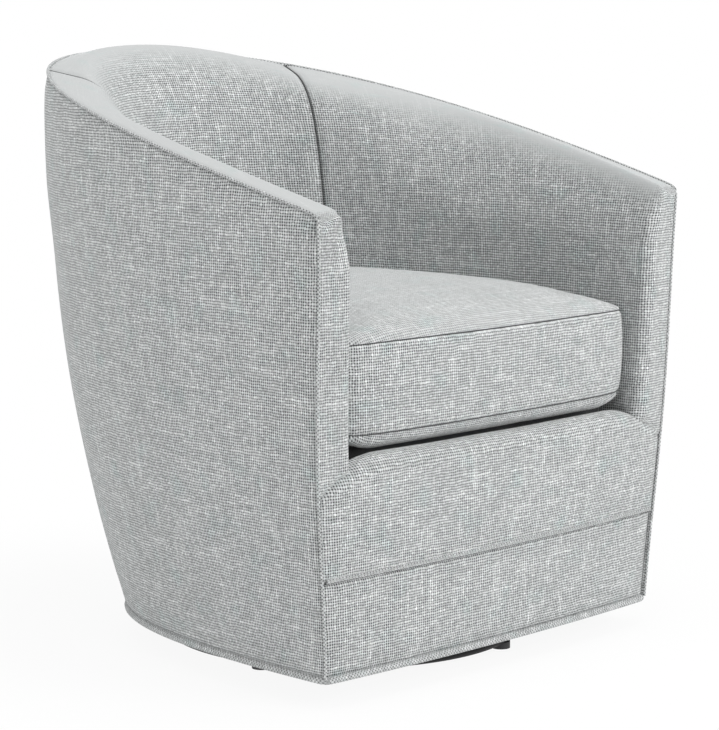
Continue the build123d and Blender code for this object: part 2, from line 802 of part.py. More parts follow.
def ball_cage():
    """Flat ring that keeps the balls apart."""
    low, high = RACE_Z - CAGE_THICKNESS / 2, RACE_Z + CAGE_THICKNESS / 2
    ring = disc(RACE_RADIUS + CAGE_WIDTH / 2, low, high) - disc(RACE_RADIUS - CAGE_WIDTH / 2, low, high)
    return ring - [place * disc(BALL_RADIUS + RUN, low, high) for place in ball_places()]


def bearing_balls():
    """Steel balls between the plates."""
    return [place * (Pos(0, 0, RACE_Z) * Sphere(BALL_RADIUS)) for place in ball_places()]


def nut_seat():
    """Height of the underside of the pin nut."""
    return FLOOR_FRAME_Z + BUSH_FLANGE + RUN


def swivel_pin():
    """Headed pin up through the hub, both plates and the bush."""
    seat = HUB_Z - BASE_ARM_THICKNESS
    head = disc(PIN_HEAD_RADIUS, seat - PIN_HEAD, seat)
    return head + disc(PIN_RADIUS, seat, nut_seat() + NUT_HEIGHT + PIN_TIP)


def pin_nut():
    """Nut that keeps the upper plate on the pin."""
    hexagon = extrude(RegularPolygon(NUT_FLATS / 2, 6, major_radius=False), amount=NUT_HEIGHT)
    return Pos(0, 0, nut_seat()) * hexagon - disc(PIN_RADIUS + RUN, 0, 2 * FLOOR_FRAME_Z)


def pivot_bush():
    """Flanged bush of the upper plate that turns on the pin."""
    sleeve = disc(PIN_RADIUS + BUSH_WALL, UPPER_PLATE_Z, FLOOR_FRAME_Z)
    flange = disc(PIN_RADIUS + 2 * BUSH_WALL, FLOOR_FRAME_Z, FLOOR_FRAME_Z + BUSH_FLANGE)
    return sleeve + flange - disc(PIN_RADIUS + RUN, 0, 2 * FLOOR_FRAME_Z)


def plate_bolts():
    """Bolts up through the upper plate and the cross rails."""
    bolt = hex_bolt(UPPER_PLATE_Z, PLATE + CROSS_RAIL_DEPTH + TEE_NUT_THICKNESS)
    return [place * bolt for place in plate_bolt_places()]


def tee_nuts():
    """Tee nuts on top of the cross rails."""
    top = FLOOR_FRAME_Z + CROSS_RAIL_DEPTH
    nut = disc(TEE_NUT_RADIUS, top - CROSS_RAIL_DEPTH / 2, top)
    nut = nut + disc(TEE_NUT_FLANGE, top, top + TEE_NUT_THICKNESS) - disc(BOLT_RADIUS + RUN, 0, 2 * top)
    return [place * nut for place in plate_bolt_places()]


def swivel_base():
    """Pieces of the base and the swivel, by name."""
    pieces = [
        base_ring, base_hub, base_arms, floor_glides, hub_bolts, lower_plate, swivel_pin, pin_nut,
        ball_cage, bearing_balls, upper_plate, pivot_bush, plate_bolts, tee_nuts,
    ]
    return {piece.__name__: on_axis(piece()) for piece in pieces}


def chair():
    """Every piece of the chair, by name."""
    kick_top = BORDER_SEAM - WELT
    parts = swivel_base()
    parts["bottom_rim"] = plywood_rim(FLOOR_FRAME_Z)
    parts["seat_rim"] = plywood_rim(SEAT_RIM_HEIGHT)
    for piece in (cross_rails, top_rim, rear_seat_rail, front_board, front_edge_rail):
        parts[piece.__name__] = piece()
    parts.update(posts())
    for piece in (shell_board, back_webbing, seat_springs, spring_clips, outside_cover):
        parts[piece.__name__] = piece()
    parts.update(arm_liners())
    parts["deck_pad"] = deck_layer(DECK_PAD_Z, DECK_Z - COVER)
    parts["deck_cover"] = deck_layer(DECK_Z - COVER, DECK_Z)
    parts.update(inside_pads())
    parts.update(inside_covers())
    parts.update(front_borders())
    parts["front_border_welt"] = front_panel(-WELT_PROUD / 2, kick_top, BORDER_SEAM)
    parts["kick_panel"] = front_panel(KICK_RECESS, HEM_TOP, kick_top)
    for piece in (top_welt, front_welts, bottom_welt, dust_cover):
        parts[piece.__name__] = piece()
    parts.update(cushion())
    return parts


def main():
    """Writes one file for each piece or group of like pieces."""
    os.makedirs("parts", exist_ok=True)
    for name, piece in chair().items():
        shape = Compound(children=piece) if isinstance(piece, list) else piece
        export_step(shape, os.path.join("parts", name + ".step"))


if __name__ == "__main__":
    main()
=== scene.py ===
"""Looks of an upholstered swivel barrel chair, built as an add-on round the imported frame."""

import json
from math import cos, pi, radians, sin

import bmesh
import bpy
import numpy as np
from bpy.props import FloatProperty, FloatVectorProperty, IntProperty, PointerProperty
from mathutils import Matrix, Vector, noise


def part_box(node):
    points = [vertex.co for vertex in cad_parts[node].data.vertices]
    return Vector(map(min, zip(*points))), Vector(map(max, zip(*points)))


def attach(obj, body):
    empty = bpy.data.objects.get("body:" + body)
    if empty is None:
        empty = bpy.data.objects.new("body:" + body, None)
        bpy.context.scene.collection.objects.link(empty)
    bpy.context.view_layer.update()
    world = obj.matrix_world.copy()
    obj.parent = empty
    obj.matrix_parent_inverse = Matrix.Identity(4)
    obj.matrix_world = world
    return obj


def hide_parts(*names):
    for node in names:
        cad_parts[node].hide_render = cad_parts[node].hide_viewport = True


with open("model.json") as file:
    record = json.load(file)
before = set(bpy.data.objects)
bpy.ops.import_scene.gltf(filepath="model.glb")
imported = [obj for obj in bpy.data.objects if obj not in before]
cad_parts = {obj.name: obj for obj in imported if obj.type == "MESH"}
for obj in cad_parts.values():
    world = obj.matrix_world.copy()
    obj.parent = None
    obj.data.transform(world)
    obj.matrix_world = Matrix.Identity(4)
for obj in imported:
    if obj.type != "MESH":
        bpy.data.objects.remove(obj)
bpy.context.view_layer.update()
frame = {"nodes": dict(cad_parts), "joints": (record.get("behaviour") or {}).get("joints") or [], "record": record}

bl_info = {
    "name": "Swivel Barrel Chair",
    "version": (1, 0, 0),
    "blender": (4, 5, 0),
    "location": "View3D > Sidebar > Chair",
    "description": "Dresses the frame of a swivel barrel chair in woven cloth",
    "category": "Object",
}

# Shell of the chair, in metres, with the same shape rules as its frame
TOTAL_HEIGHT = 0.796
HEM_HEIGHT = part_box("bottom_welt")[0].z
ARM_HEIGHT = 0.612
HEM_HALF_WIDTH = 0.3175
ARM_HALF_WIDTH = 0.349
HEM_FRONT = 0.3525
ARM_FRONT = 0.3735
HEM_BACK = 0.2215
TOP_BACK = 0.3685
BACK_SWELL = 0.058
HEM_SIDE_BOW = 0.005
TOP_SIDE_BOW = 0.044
SIDE_REACH = 0.725
HEM_BACK_REACH = 0.72
TOP_BACK_REACH = 0.64
FRONT_BOW = 0.012
TOP_LINE_RISE = 0.09
TOP_LINE = TOTAL_HEIGHT - 0.0015
EDGE_SWELL = 0.008

# Seat well between the arms and the back
ARM_THICKNESS = 0.057
SEAT_BACK = 0.200
BACK_RECLINE = 0.184
WELL_SIDE_DRAW = 0.010
WELL_SIDE_REACH = 0.62
WELL_BACK_REACH = 0.58
ARM_EDGE_RADIUS = 0.016
FOLD_RADIUS = 0.012
SEAM_APEX = 0.196
SEAM_TURN = radians(26.3)
SEAM_LEAN = radians(8)
SEAM_LEVEL = 0.72
WELT_IN = 0.0020
WALL_ROWS = 44
WEAVE_ROW = 30
TIGHT_ROWS = 9
ROLL_SHARE = 0.9
ROLL_DEPTH = 0.06
ARM_EDGE_FADE = 0.024
ARM_FRONT_LAP = 0.012
ARM_FRONT_SINK = 0.005
DECK_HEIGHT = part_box("deck_cover")[1].z
DECK_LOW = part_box("deck_pad")[0].z

# Front of the seat
BORDER_TOP = 0.312
BORDER_END = 0.268
BORDER_SEAM = 0.162
BORDER_DEPTH = 0.064
BORDER_ROLL = 0.024
SHOULDER_SPREAD = 0.06
SHOULDER_ROLL = 0.010
KICK_RECESS = 0.003
KICK_SWELL = 0.0022
KICK_COVER = 0.004
BORDER_COVER = 0.006
BORDER_FALL = 0.016
FOLD_GROOVE = 0.004
FOLD_SINK = 0.4
FOLD_END_GAP = 0.0025

# Edges and fullness of the panels
PANEL_EDGE = 0.0015
PANEL_TAPER = 6
SIDE_BULGE = 0.0012
TOP_BULGE = 0.003
TUCK_WIDTH = 0.005
SEAM_TUCK_WIDTH = 0.0055
RIM_TUCK_WIDTH = 0.004
EDGE_WELT_PROUD = 0.0014
HEM_WELT_PROUD = 0.003
STITCH_SIDES = 8

# Lap of a panel under its welts
PANEL_LAP = 0.001

# Distances from seams, rims, ends and lower edges over which the fullness of a panel grows
SIDE_FADE = 0.06
TOP_BULGE_GROWS = (0.0, 0.03)
TOP_BULGE_ENDS = (0.14, 0.12)
BACK_SEAM_FADE = 0.16
BACK_RIM_FADE = 0.14
ARM_SEAM_FADE = 0.1
ARM_RIM_FADE = 0.12
ARM_END_FADE = 0.1
BORDER_END_FADE = 0.035
BORDER_LOW_FADE = 0.05
KICK_END_FADE = 0.04
KICK_LOW_FADE = 0.03

# Size and depth of the hand-made unevenness of each panel
UNEVEN = {
    "outside": (0.11, 0.0008),
    "back": (0.13, 0.0012),
    "arm": (0.12, 0.0009),
    "border": (0.1, 0.001),
    "kick": (0.09, 0.0007),
    "dust": (0.06, 0.0012),
}

# Start and run of the changes along an arm, as shares of its length from the back seam
ARM_CROWN_IN = (0.22, 0.4)
FRONT_CROWN_IN = (0.7, 0.3)
ARM_ROLL_IN = (0.0, 0.6)

# Points along and up the panels
OUTSIDE_COLUMNS = 111
OUTSIDE_ROWS = 96
BACK_COLUMNS = 90
ARM_COLUMNS = 84
ARM_TURN_COLUMNS = 10
ARM_FRONT_COLUMNS = 16
ROLL_ROWS = 24
BAND_ROWS = 12
BORDER_COLUMNS = 150
BORDER_BACK_ROWS = 12
BORDER_ARC_ROWS = 14
BORDER_FACE_ROWS = 40
KICK_COLUMNS = 130
KICK_ROWS = 50

# Steps along the paths and outlines
EDGE_STEP = 0.003
HEM_STEP = 0.005
OUTLINE_STEP = 0.002
DUST_STEP = 0.012

# Far points that the panels face
BACK_VIEW = (0, -0.3, 1.2)
ARM_VIEW = (0.2, -0.6, 0.9)
BORDER_VIEW = (0, -3, 2)
KICK_VIEW = (0, -3, 0.1)
UNDER_VIEW = (0, 0, -5)

# Shifts of the weave, so that it doesn't run on across a seam
RIGHT_ARM_WEAVE = 0.37
BORDER_WEAVE = (0.11, 0.0)
KICK_WEAVE = (0.43, 0.21)
PAD_WEAVE = (0.29, 0.17)

# Tightness of the cloth, from 0 as woven to 1 with its gaps shut, which also takes the painted shade out of its
# gaps
CORD_TIGHTNESS = 0.2
CROWN_TIGHTNESS = 0.35

# Share of a length that lies along each thread of cloth cut on the bias
BIAS = 0.5**0.5

# Loose seat cushion
CUSHION_FRONT = 0.350
CUSHION_BOW = 0.014
CUSHION_GAP = 0.005
CUSHION_LOW_SEAM = 0.3343
CUSHION_TOP_SEAM = 0.4463
CUSHION_SEAM_IN = 0.004
CUSHION_FRONT_IN = 0.003
CUSHION_EASE = 0.028
CUSHION_BULGE = 0.004
CUSHION_SEAM_DRAW = 0.0045
CUSHION_FRONT_BAND = 0.02
CUSHION_EDGES = (0.006, 0.014, 0.026, 0.042)
CUSHION_LEVELS = (0, 0.03, 0.07, 0.13, 0.21, 0.3, 0.4, 0.5, 0.6, 0.7, 0.79, 0.87, 0.93, 0.97, 1.0)
CROWN_LIP = 0.25
PAD_CENTRE = (0, -0.05)

# Directions in plan of the corners of a pad, from the left front one round the back
PAD_CORNERS = ((-1.0, -1.3), (-1.0, 0.9), (1.0, 0.9), (1.0, -1.3))

# Deck under the cushion
DECK_GAP = 0.001
DECK_BOW = 0.010
DECK_EASE = 0.004
DECK_CROWN = 0.002
DECK_EDGES = (0.008, 0.02, 0.04)

# Dust cover under the frame
DUST_HOLE = 0.140
DUST_INSET = 0.0065
DUST_HANG = 0.0012
DUST_COVER = 0.0006

# Swivel axis
SWIVEL_Y = frame["joints"][0]["pos_m"][1]

# Camera fitted to the photograph, with angles in degrees and shifts in widths of the picture
CAMERA_PLACE = (-2.4607, -2.4824, 0.8467)
CAMERA_DIP = 8.08
CAMERA_TURN = -46.03
CAMERA_SHIFT = (-0.0038, 0.0127)
SENSOR_WIDTH = 36.0

# Place, aim and size of each lamp
LAMPS = {
    "key": ((0.9, -3.2, 1.7), (0, -0.1, 0.35), 2.0),
    "side": ((-3.0, 0.6, 0.45), (-0.3, 0.0, 0.4), 1.2),
    "top": ((0.0, -0.4, 3.0), (0, -0.1, 0.4), 1.8),
}


# Settings


def number(name, description, default):
    """Setting of a plain number."""
    return FloatProperty(name=name, description=description, default=default)


def metres(name, description, default):
    """Setting of a length."""
    return FloatProperty(name=name, description=description, default=default, unit="LENGTH", precision=4)


def watts(name, description, default):
    """Setting of a lamp's power."""
    return FloatProperty(name=name, description=description, default=default, unit="POWER")


def tint(name, description, default):
    """Setting of a colour."""
    return FloatVectorProperty(name=name, description=description, default=default, subtype="COLOR")


class ClothSettings(bpy.types.PropertyGroup):
    """Colours and scale of the woven cover."""

    pitch: metres("Yarn Pitch", "Width of one yarn of the weave", 0.0036)
    yarn: tint("Yarn", "Colour of most yarns", (0.59, 0.605, 0.605))
    cool_yarn: tint("Cool Yarn", "Colour of the faintly green yarns", (0.535, 0.597, 0.592))
    slub: tint("Slub", "Colour of the thick pale stretches of yarn", (0.80, 0.81, 0.805))
    # Gap is painted shade: the dark seen in the holes between the yarns, not a colour of the cloth
    gap: tint("Gap Shade", "Colour between the yarns", (0.016, 0.018, 0.018))


class PanelSettings(bpy.types.PropertyGroup):
    """Thickness and padding of the sewn panels."""

    cover: metres("Cover", "Thickness of the cloth", 0.002)
    pad: metres("Pad", "Depth of padding that a panel carries", 0.010)
    arm_flat: metres("Arm Flat", "Flat of the arm's top at its front", 0.034)
    back_flat: metres("Back Flat", "Flat of the back's top", 0.026)
    seam_flat: metres("Seam Flat", "Flat of the top at a back seam", 0.05)
    arm_roll: number("Arm Roll", "Fullness of the arm's rolled edge at its front", 0.3)
    back_roll: number("Back Roll", "Fullness of the back's rolled edge", 0.46)
    seam_roll: number("Seam Roll", "Fullness of the roll at a back seam", 1.0)
    arm_crown: metres("Arm Crown", "Rise of the arm's top", 0.004)
    front_crown: metres("Front Crown", "Rise of the arm's top at its front", 0.003)
    back_crown: metres("Back Crown", "Rise of the back's top", 0.013)
    arm_swell: metres("Arm Swell", "Fullness of the arms", 0.002)
    back_swell: metres("Back Swell", "Fullness of the back", 0.005)
    border_swell: metres("Border Swell", "How far the front border stands proud", 0.003)
    seam_tuck: metres("Seam Tuck", "Depth that a seam is drawn in", 0.0035)
    welt_tuck: metres("Welt Tuck", "Depth that a panel is drawn in beside a welt", 0.0022)
    rim_tuck: metres("Rim Tuck", "Depth that an arm or the back is drawn in beside its welt", 0.0012)


class WeltSettings(bpy.types.PropertyGroup):
    """Covered cords along the edges."""

    edge: metres("Edge Welt", "Radius along the top and front", 0.0019)
    bottom: metres("Bottom Welt", "Radius round the bottom", 0.0045)
    fold: metres("Border Fold", "Radius of the border's folded edge", 0.0028)
    sides: IntProperty(name="Sides", description="Faces round a welt", default=12, min=6)


class SeamSettings(bpy.types.PropertyGroup):
    """Stitches in the plain seams."""

    spacing: metres("Spacing", "Step between stitches", 0.0036)
    length: metres("Length", "Length of a stitch", 0.0029)
    radius: metres("Radius", "Radius of the thread", 0.001)
    lift: metres("Lift", "Rise of the stitches in the back seams", 0.001)
    # The thread is dark as its own colour and also to paint the shade along the seam lines
    thread: tint("Thread", "Colour of the thread", (0.07, 0.075, 0.075))


class CushionSettings(bpy.types.PropertyGroup):
    """Loose seat cushion."""

    top_rise: metres("Top Rise", "Crown before stuffing", 0.036)
    bottom_rise: metres("Bottom Rise", "Belly of the underside", 0.0215)
    pressure: number("Stuffing", "Pressure of the stuffing", 4.0)
    top_cap: metres("Top Cap", "Most that the top may swell", 0.022)
    side_cap: metres("Side Cap", "Most that the sides may swell", 0.0035)
    frames: IntProperty(name="Frames", description="Steps of the stuffing", default=20, min=2)


class FinishSettings(bpy.types.PropertyGroup):
    """Colours of the frame and the base."""

    steel: tint("Black Steel", "Paint of the base", (0.009, 0.009, 0.0095))
    zinc: tint("Zinc", "Plated fasteners", (0.55, 0.55, 0.56))
    wire: tint("Spring Wire", "Drawn wire", (0.16, 0.16, 0.17))
    plastic: tint("Plastic", "Glides and bush", (0.025, 0.025, 0.027))
    wood: tint("Wood", "Bare frame", (0.62, 0.47, 0.31))
    board: tint("Board", "Fibreboard", (0.55, 0.43, 0.3))
    webbing: tint("Webbing", "Back webbing", (0.09, 0.09, 0.1))
    # Lining is the deck cloth's colour, kept very dark so that it also paints the shadow in the gaps round the
    # cushion
    lining: tint("Lining", "Deck cloth", (0.06, 0.062, 0.062))
    dust: tint("Dust Cloth", "Cloth under the frame", (0.03, 0.03, 0.032))


class StageSettings(bpy.types.PropertyGroup):
    """Light, floor and camera."""

    sky: number("Sky", "Strength of the even light", 0.55)
    key: watts("Key", "Power of the large front lamp", 64.0)
    side: watts("Side", "Power of the low lamp at the side", 23.0)
    top: watts("Top", "Power of the lamp overhead", 30.0)
    floor: tint("Floor", "Colour of the floor", (0.9, 0.9, 0.9))
    lens: number("Lens", "Focal length in millimetres", 124.97)


class ChairSettings(bpy.types.PropertyGroup):
    """All settings of the chair."""

    cloth: PointerProperty(type=ClothSettings)
    panels: PointerProperty(type=PanelSettings)
    welts: PointerProperty(type=WeltSettings)
    seams: PointerProperty(type=SeamSettings)
    cushion: PointerProperty(type=CushionSettings)
    finishes: PointerProperty(type=FinishSettings)
    stage: PointerProperty(type=StageSettings)


def settings():
    """Settings of the chair in the current scene."""
    return bpy.context.scene.barrel_chair


# Shape rules of the shell


def mix(start, end, share):
    """Value part of the way from start to end."""
    return start + (end - start) * share


def smooth(share):
    """Share eased at both ends."""
    share = np.clip(share, 0, 1)
    return share * share * (3 - 2 * share)


def eased_in(value, start, run):
    """Share that grows from 0 at a start to 1 a run later."""
    return smooth((value - start) / run)


def edge_swell(z):
    """How far the front edges of the barrel swell out between the hem and the arms."""
    return EDGE_SWELL * np.sin(pi * np.clip((z - HEM_HEIGHT) / (ARM_HEIGHT - HEM_HEIGHT), 0, 1)) ** 2


def half_width(z):
    """Half the width of the barrel at its front edge."""
    rise = (z - HEM_HEIGHT) / (ARM_HEIGHT - HEM_HEIGHT)
    return mix(HEM_HALF_WIDTH, ARM_HALF_WIDTH, rise) + edge_swell(z)


def front_line(z):
    """Y of the front edge at the corners of the barrel."""
    return -mix(HEM_FRONT, ARM_FRONT, (z - HEM_HEIGHT) / (ARM_HEIGHT - HEM_HEIGHT))


def front_face(x, z):
    """Y of the bowed front face."""
    return front_line(z) + FRONT_BOW * ((x / half_width(z)) ** 2 - 1)


def back_line(z):
    """Y of the outside of the back on the centre line."""
    rise = (z - HEM_HEIGHT) / (TOTAL_HEIGHT - HEM_HEIGHT)
    return mix(HEM_BACK, TOP_BACK, rise) + 4 * BACK_SWELL * rise * (1 - rise)


def well_back_line(z):
    """Y of the inside of the back on the centre line."""
    return SEAT_BACK + BACK_RECLINE * (z - DECK_HEIGHT)


def top_line(y):
    """Height of the top edge at a distance from front to back."""
    share = (y + ARM_FRONT) / (TOP_BACK + ARM_FRONT)
    return mix(ARM_HEIGHT, TOP_LINE, share + TOP_LINE_RISE * share * (1 - share))


def bezier(ends, share):
    """Points of a cubic curve, given as X and Y of its four control points."""
    rest = 1 - share
    weights = (rest**3, 3 * rest**2 * share, 3 * rest * share**2, share**3)
    return tuple(sum(w * point[i] for w, point in zip(weights, ends)) for i in (0, 1))


def barrel(share, z, inset=0.0):
    """X and Y on the left half of the barrel, from the front edge at 0 to the back at 1."""
    rise = (z - HEM_HEIGHT) / (TOTAL_HEIGHT - HEM_HEIGHT)
    half = half_width(z) - inset
    front = front_line(z)
    back = back_line(z) - inset
    bow = mix(HEM_SIDE_BOW, TOP_SIDE_BOW, rise)
    reach = mix(HEM_BACK_REACH, TOP_BACK_REACH, rise)
    side = (edge_swell(z) - half - bow, front + SIDE_REACH * (back - front))
    return bezier([(-half, front), side, (-reach * half, back), (0 * half, back)], share)


def well(share, z, inset=0.0):
    """X and Y on the left half of the seat well, from the front edge at 0 to the back at 1."""
    half = half_width(z) - ARM_THICKNESS - inset
    front = front_line(z)
    back = well_back_line(z) - inset
    side = (-half + WELL_SIDE_DRAW, front + WELL_SIDE_REACH * (back - front))
    return bezier([(-half, front), side, (-WELL_BACK_REACH * half, back), (0 * half, back)], share)


def share_past(curve, z, passed, low=0.0, high=1.0):
    """Share at which the X and Y of a side curve pass a test."""
    low = np.full_like(np.asarray(z, float), low)
    high = np.full_like(low, high)
    for _ in range(40):
        middle = (low + high) / 2
        done = passed(*curve(middle, z))
        low = np.where(done, low, middle)
        high = np.where(done, middle, high)
    return low


def seam_share(curve, z, part=1.0):
    """Share at which a side curve meets the plane of a back seam, or a plane part of the way to that."""
    turn = part * (SEAM_TURN + SEAM_LEAN * (SEAM_LEVEL - np.asarray(z, float)))
    return share_past(curve, z, lambda x, y: np.arctan2(-x, y + SEAM_APEX) < turn)


def meet_top(curve_y, steps=30):
    """Height at which a wall, given as Y by height, meets the sloping top."""
    z = ARM_HEIGHT
    for _ in range(steps):
        z = top_line(curve_y(z))
    return z


# Meshes


def fold(points):
    """Points with the corner rounded where the top of an arm meets its front."""
    x, y, z = np.moveaxis(points, -1, 0)
    crown = settings().panels.front_crown
    ahead = FOLD_RADIUS - np.clip(y - front_face(x, z), 0, FOLD_RADIUS)
    above = FOLD_RADIUS - np.clip(top_line(y) + crown - z, 0, FOLD_RADIUS)
    keep = np.maximum(ahead, above) / (np.hypot(ahead, above) + 1e-12)
    moved = points.copy()
    moved[..., 1] += ahead * (1 - keep)
    moved[..., 2] -= above * (1 - keep)
    return moved


def lengths(points, axis=0):
    """Running length of rows of points."""
    steps = np.linalg.norm(np.diff(points, axis=axis), axis=-1)
    zero = np.zeros_like(np.take(steps, [0], axis=axis))
    return np.concatenate([zero, np.cumsum(steps, axis=axis)], axis=axis)


def from_ends(run):
    """Distance of the stops of a running length from its nearer end, as a column."""
    return np.minimum(run, run[-1] - run)[:, None]


def unit(vectors):
    """Vectors of length one along the given ones."""
    return vectors / np.linalg.norm(vectors, axis=-1, keepdims=True)


def grid_faces(index):
    """Faces between the points of a grid, from the grid of their numbers."""
    return np.stack([index[:-1, :-1], index[1:, :-1], index[1:, 1:], index[:-1, 1:]], axis=-1).reshape(-1, 4)


def cloth_grid(across, level, *tight):
    """Weave of a grid: length across it, level up it and, where given, tightness."""
    return np.stack([np.broadcast_to(across[:, None], level.shape), level, *tight], axis=-1)


def grid_normals(skin, toward):
    """Normals of a grid of points toward a far point, or away from the upright axis if none is given."""
    normals = np.cross(np.gradient(skin, axis=0), np.gradient(skin, axis=1))
    normals /= np.linalg.norm(normals, axis=2, keepdims=True) + 1e-12
    facing = skin * (1, 1, 0) if toward is None else np.asarray(toward) - skin
    return normals if (normals * facing).sum() > 0 else -normals


def uneven(points, kind):
    """Slow hand-made unevenness at each point of a panel."""
    size, depth = UNEVEN[kind]
    values = [noise.noise(Vector(p)) for p in points.reshape(-1, 3) / size]
    return depth * np.reshape(values, points.shape[:-1])


def tuck(distance, depth, width):
    """Depth that a panel is drawn in at a distance from its sewn edge."""
    return depth * np.exp(-((np.clip(distance, 0, None) / width) ** 2))


def new_object(name, mesh, material):
    """Object of a mesh with one material, shaded smooth."""
    mesh.materials.clear()
    mesh.materials.append(material)
    mesh.shade_smooth()
    piece = bpy.data.objects.new(name, mesh)
    bpy.context.scene.collection.objects.link(piece)
    return piece


def panel(name, skin, weave, thickness, material, toward=None):
    """Closed panel: a grid of points, a layer behind it and the edge between them."""
    normals = grid_normals(skin, toward)
    rows, columns = skin.shape[:2]
    count = rows * columns
    inside = [np.minimum(np.arange(size), np.arange(size)[::-1]) for size in (rows, columns)]
    steps = np.minimum(inside[0][:, None], inside[1][None])
    depth = mix(PANEL_EDGE, thickness, smooth(steps / PANEL_TAPER))
    verts = np.concatenate([skin.reshape(-1, 3), (skin - normals * depth[..., None]).reshape(-1, 3)])
    index = np.arange(count).reshape(rows, columns)
    quads = grid_faces(index)
    rim = np.concatenate([index[:, 0], index[-1, 1:], index[-2::-1, -1], index[0, -2:0:-1]])
    after = np.roll(rim, -1)
    edge = np.stack([rim, rim + count, after + count, after], axis=-1)
    faces = np.concatenate([quads, quads[:, ::-1] + count, edge])
    mesh = bpy.data.meshes.new(name)
    mesh.from_pydata(verts.tolist(), [], faces.tolist())
    threads = np.zeros((2 * count, 3), np.float32)
    threads[:, : weave.shape[-1]] = np.concatenate([weave.reshape(-1, weave.shape[-1])] * 2)
    mesh.attributes.new("weave", "FLOAT_VECTOR", "POINT").data.foreach_set("vector", threads.ravel())
    face_out(mesh)
    return new_object(name, mesh, material)


def face_out(mesh):
    """Turns all faces of a closed mesh outwards."""
    form = bmesh.new()
    form.from_mesh(mesh)
    bmesh.ops.recalc_face_normals(form, faces=form.faces[:])
    form.to_mesh(mesh)
    form.free()


def plain_mesh(piece, name):
    """Mesh of a piece with its modifiers applied."""
    graph = bpy.context.evaluated_depsgraph_get()
    mesh = bpy.data.meshes.new_from_object(
        piece.evaluated_get(graph), preserve_all_data_layers=True, depsgraph=graph
    )
    mesh.name = name
    return mesh


def dress(piece, body, nodes):
    """Makes a piece ride on its body in place of its frame nodes."""
    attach(piece, body)
    if nodes:
        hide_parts(*nodes)
    return piece


# Materials


def feed(tree, node, inputs):
    """Sets or links the inputs of a node."""
    for key, value in inputs.items():
        value = value.socket if isinstance(value, Tone) else value
        if isinstance(value, bpy.types.NodeSocket):
            tree.links.new(value, node.inputs[key])
        else:
            node.inputs[key].default_value = value


def toned(color, amount):
    """Colour made darker or lighter."""
    return tuple(amount * c for c in color)


class Tone:
    """One output of a material's nodes. Arithmetic on it adds Math nodes."""

    def __init__(self, finish, socket):
        self.finish = finish
        self.socket = socket

    def math(self, operation, *others):
        """Math node on this value and others."""
        return self.finish.node("Math", {"operation": operation}, dict(enumerate((self,) + others)))

    def turned(self, operation, other):
        """Math node with the other value first."""
        return self.finish.node("Math", {"operation": operation}, {0: other, 1: self})

    def __add__(self, other):
        return self.math("ADD", other)

    def __radd__(self, other):
        return self.turned("ADD", other)

    def __sub__(self, other):
        return self.math("SUBTRACT", other)

    def __rsub__(self, other):
        return self.turned("SUBTRACT", other)

    def __mul__(self, other):
        return self.math("MULTIPLY", other)

    def __rmul__(self, other):
        return self.turned("MULTIPLY", other)

    def __truediv__(self, other):
        return self.math("DIVIDE", other)

    def __pow__(self, other):
        return self.math("POWER", other)


class Finish:
    """A material with one main shader, and the nodes that feed it."""

    def __init__(self, name, color, roughness, **constants):
        self.material = bpy.data.materials.new(name)
        self.material.use_nodes = True
        self.material.diffuse_color = (*color, 1)
        self.tree = self.material.node_tree
        self.shader = self.tree.nodes["Principled BSDF"]
        self.set({"Base Color": (*color, 1), "Roughness": roughness})
        self.set({
            name.replace("_", " ").title().replace("Ior", "IOR"): value for name, value in constants.items()
        })

    def set(self, inputs):
        """Sets or links inputs of the main shader."""
        feed(self.tree, self.shader, inputs)

    def node(self, kind, choices=None, inputs=None, out=0):
        """Adds a node with its choices and inputs, and gives one of its outputs."""
        node = self.tree.nodes.new("ShaderNode" + kind)
        for key, value in (choices or {}).items():
            setattr(node, key, value)
        feed(self.tree, node, inputs or {})
        return Tone(self, node.outputs[out])

    def blend(self, share, first, second):
        """Colour between two colours."""
        sides = {0: share, 6: first if isinstance(first, Tone) else (*first, 1),
                 7: second if isinstance(second, Tone) else (*second, 1)}
        return self.node("Mix", {"data_type": "RGBA"}, sides, out=2)

    def step(self, value, low, high):
        """Value eased from 0 at low to 1 at high."""
        return self.node("MapRange", {"interpolation_type": "SMOOTHSTEP"}, {0: value, 1: low, 2: high})

    def grain(self, place, scale, detail=2.0, roughness=0.5):
        """Noise at a place."""
        return self.node(
            "TexNoise", None, {"Vector": place, "Scale": scale, "Detail": detail, "Roughness": roughness}
        )

    def point(self, x, y, z=0.0):
        """Vector of three values."""
        return self.node("CombineXYZ", None, {0: x, 1: y, 2: z})

    def object_place(self):
        """Object coordinates."""
        return self.node("TexCoord", out=3)

    def relief(self, height, distance, strength=1.0):
        """Bumps the surface by a height."""
        bump = self.node("Bump", None, {"Height": height, "Distance": distance, "Strength": strength})
        self.set({"Normal": bump})


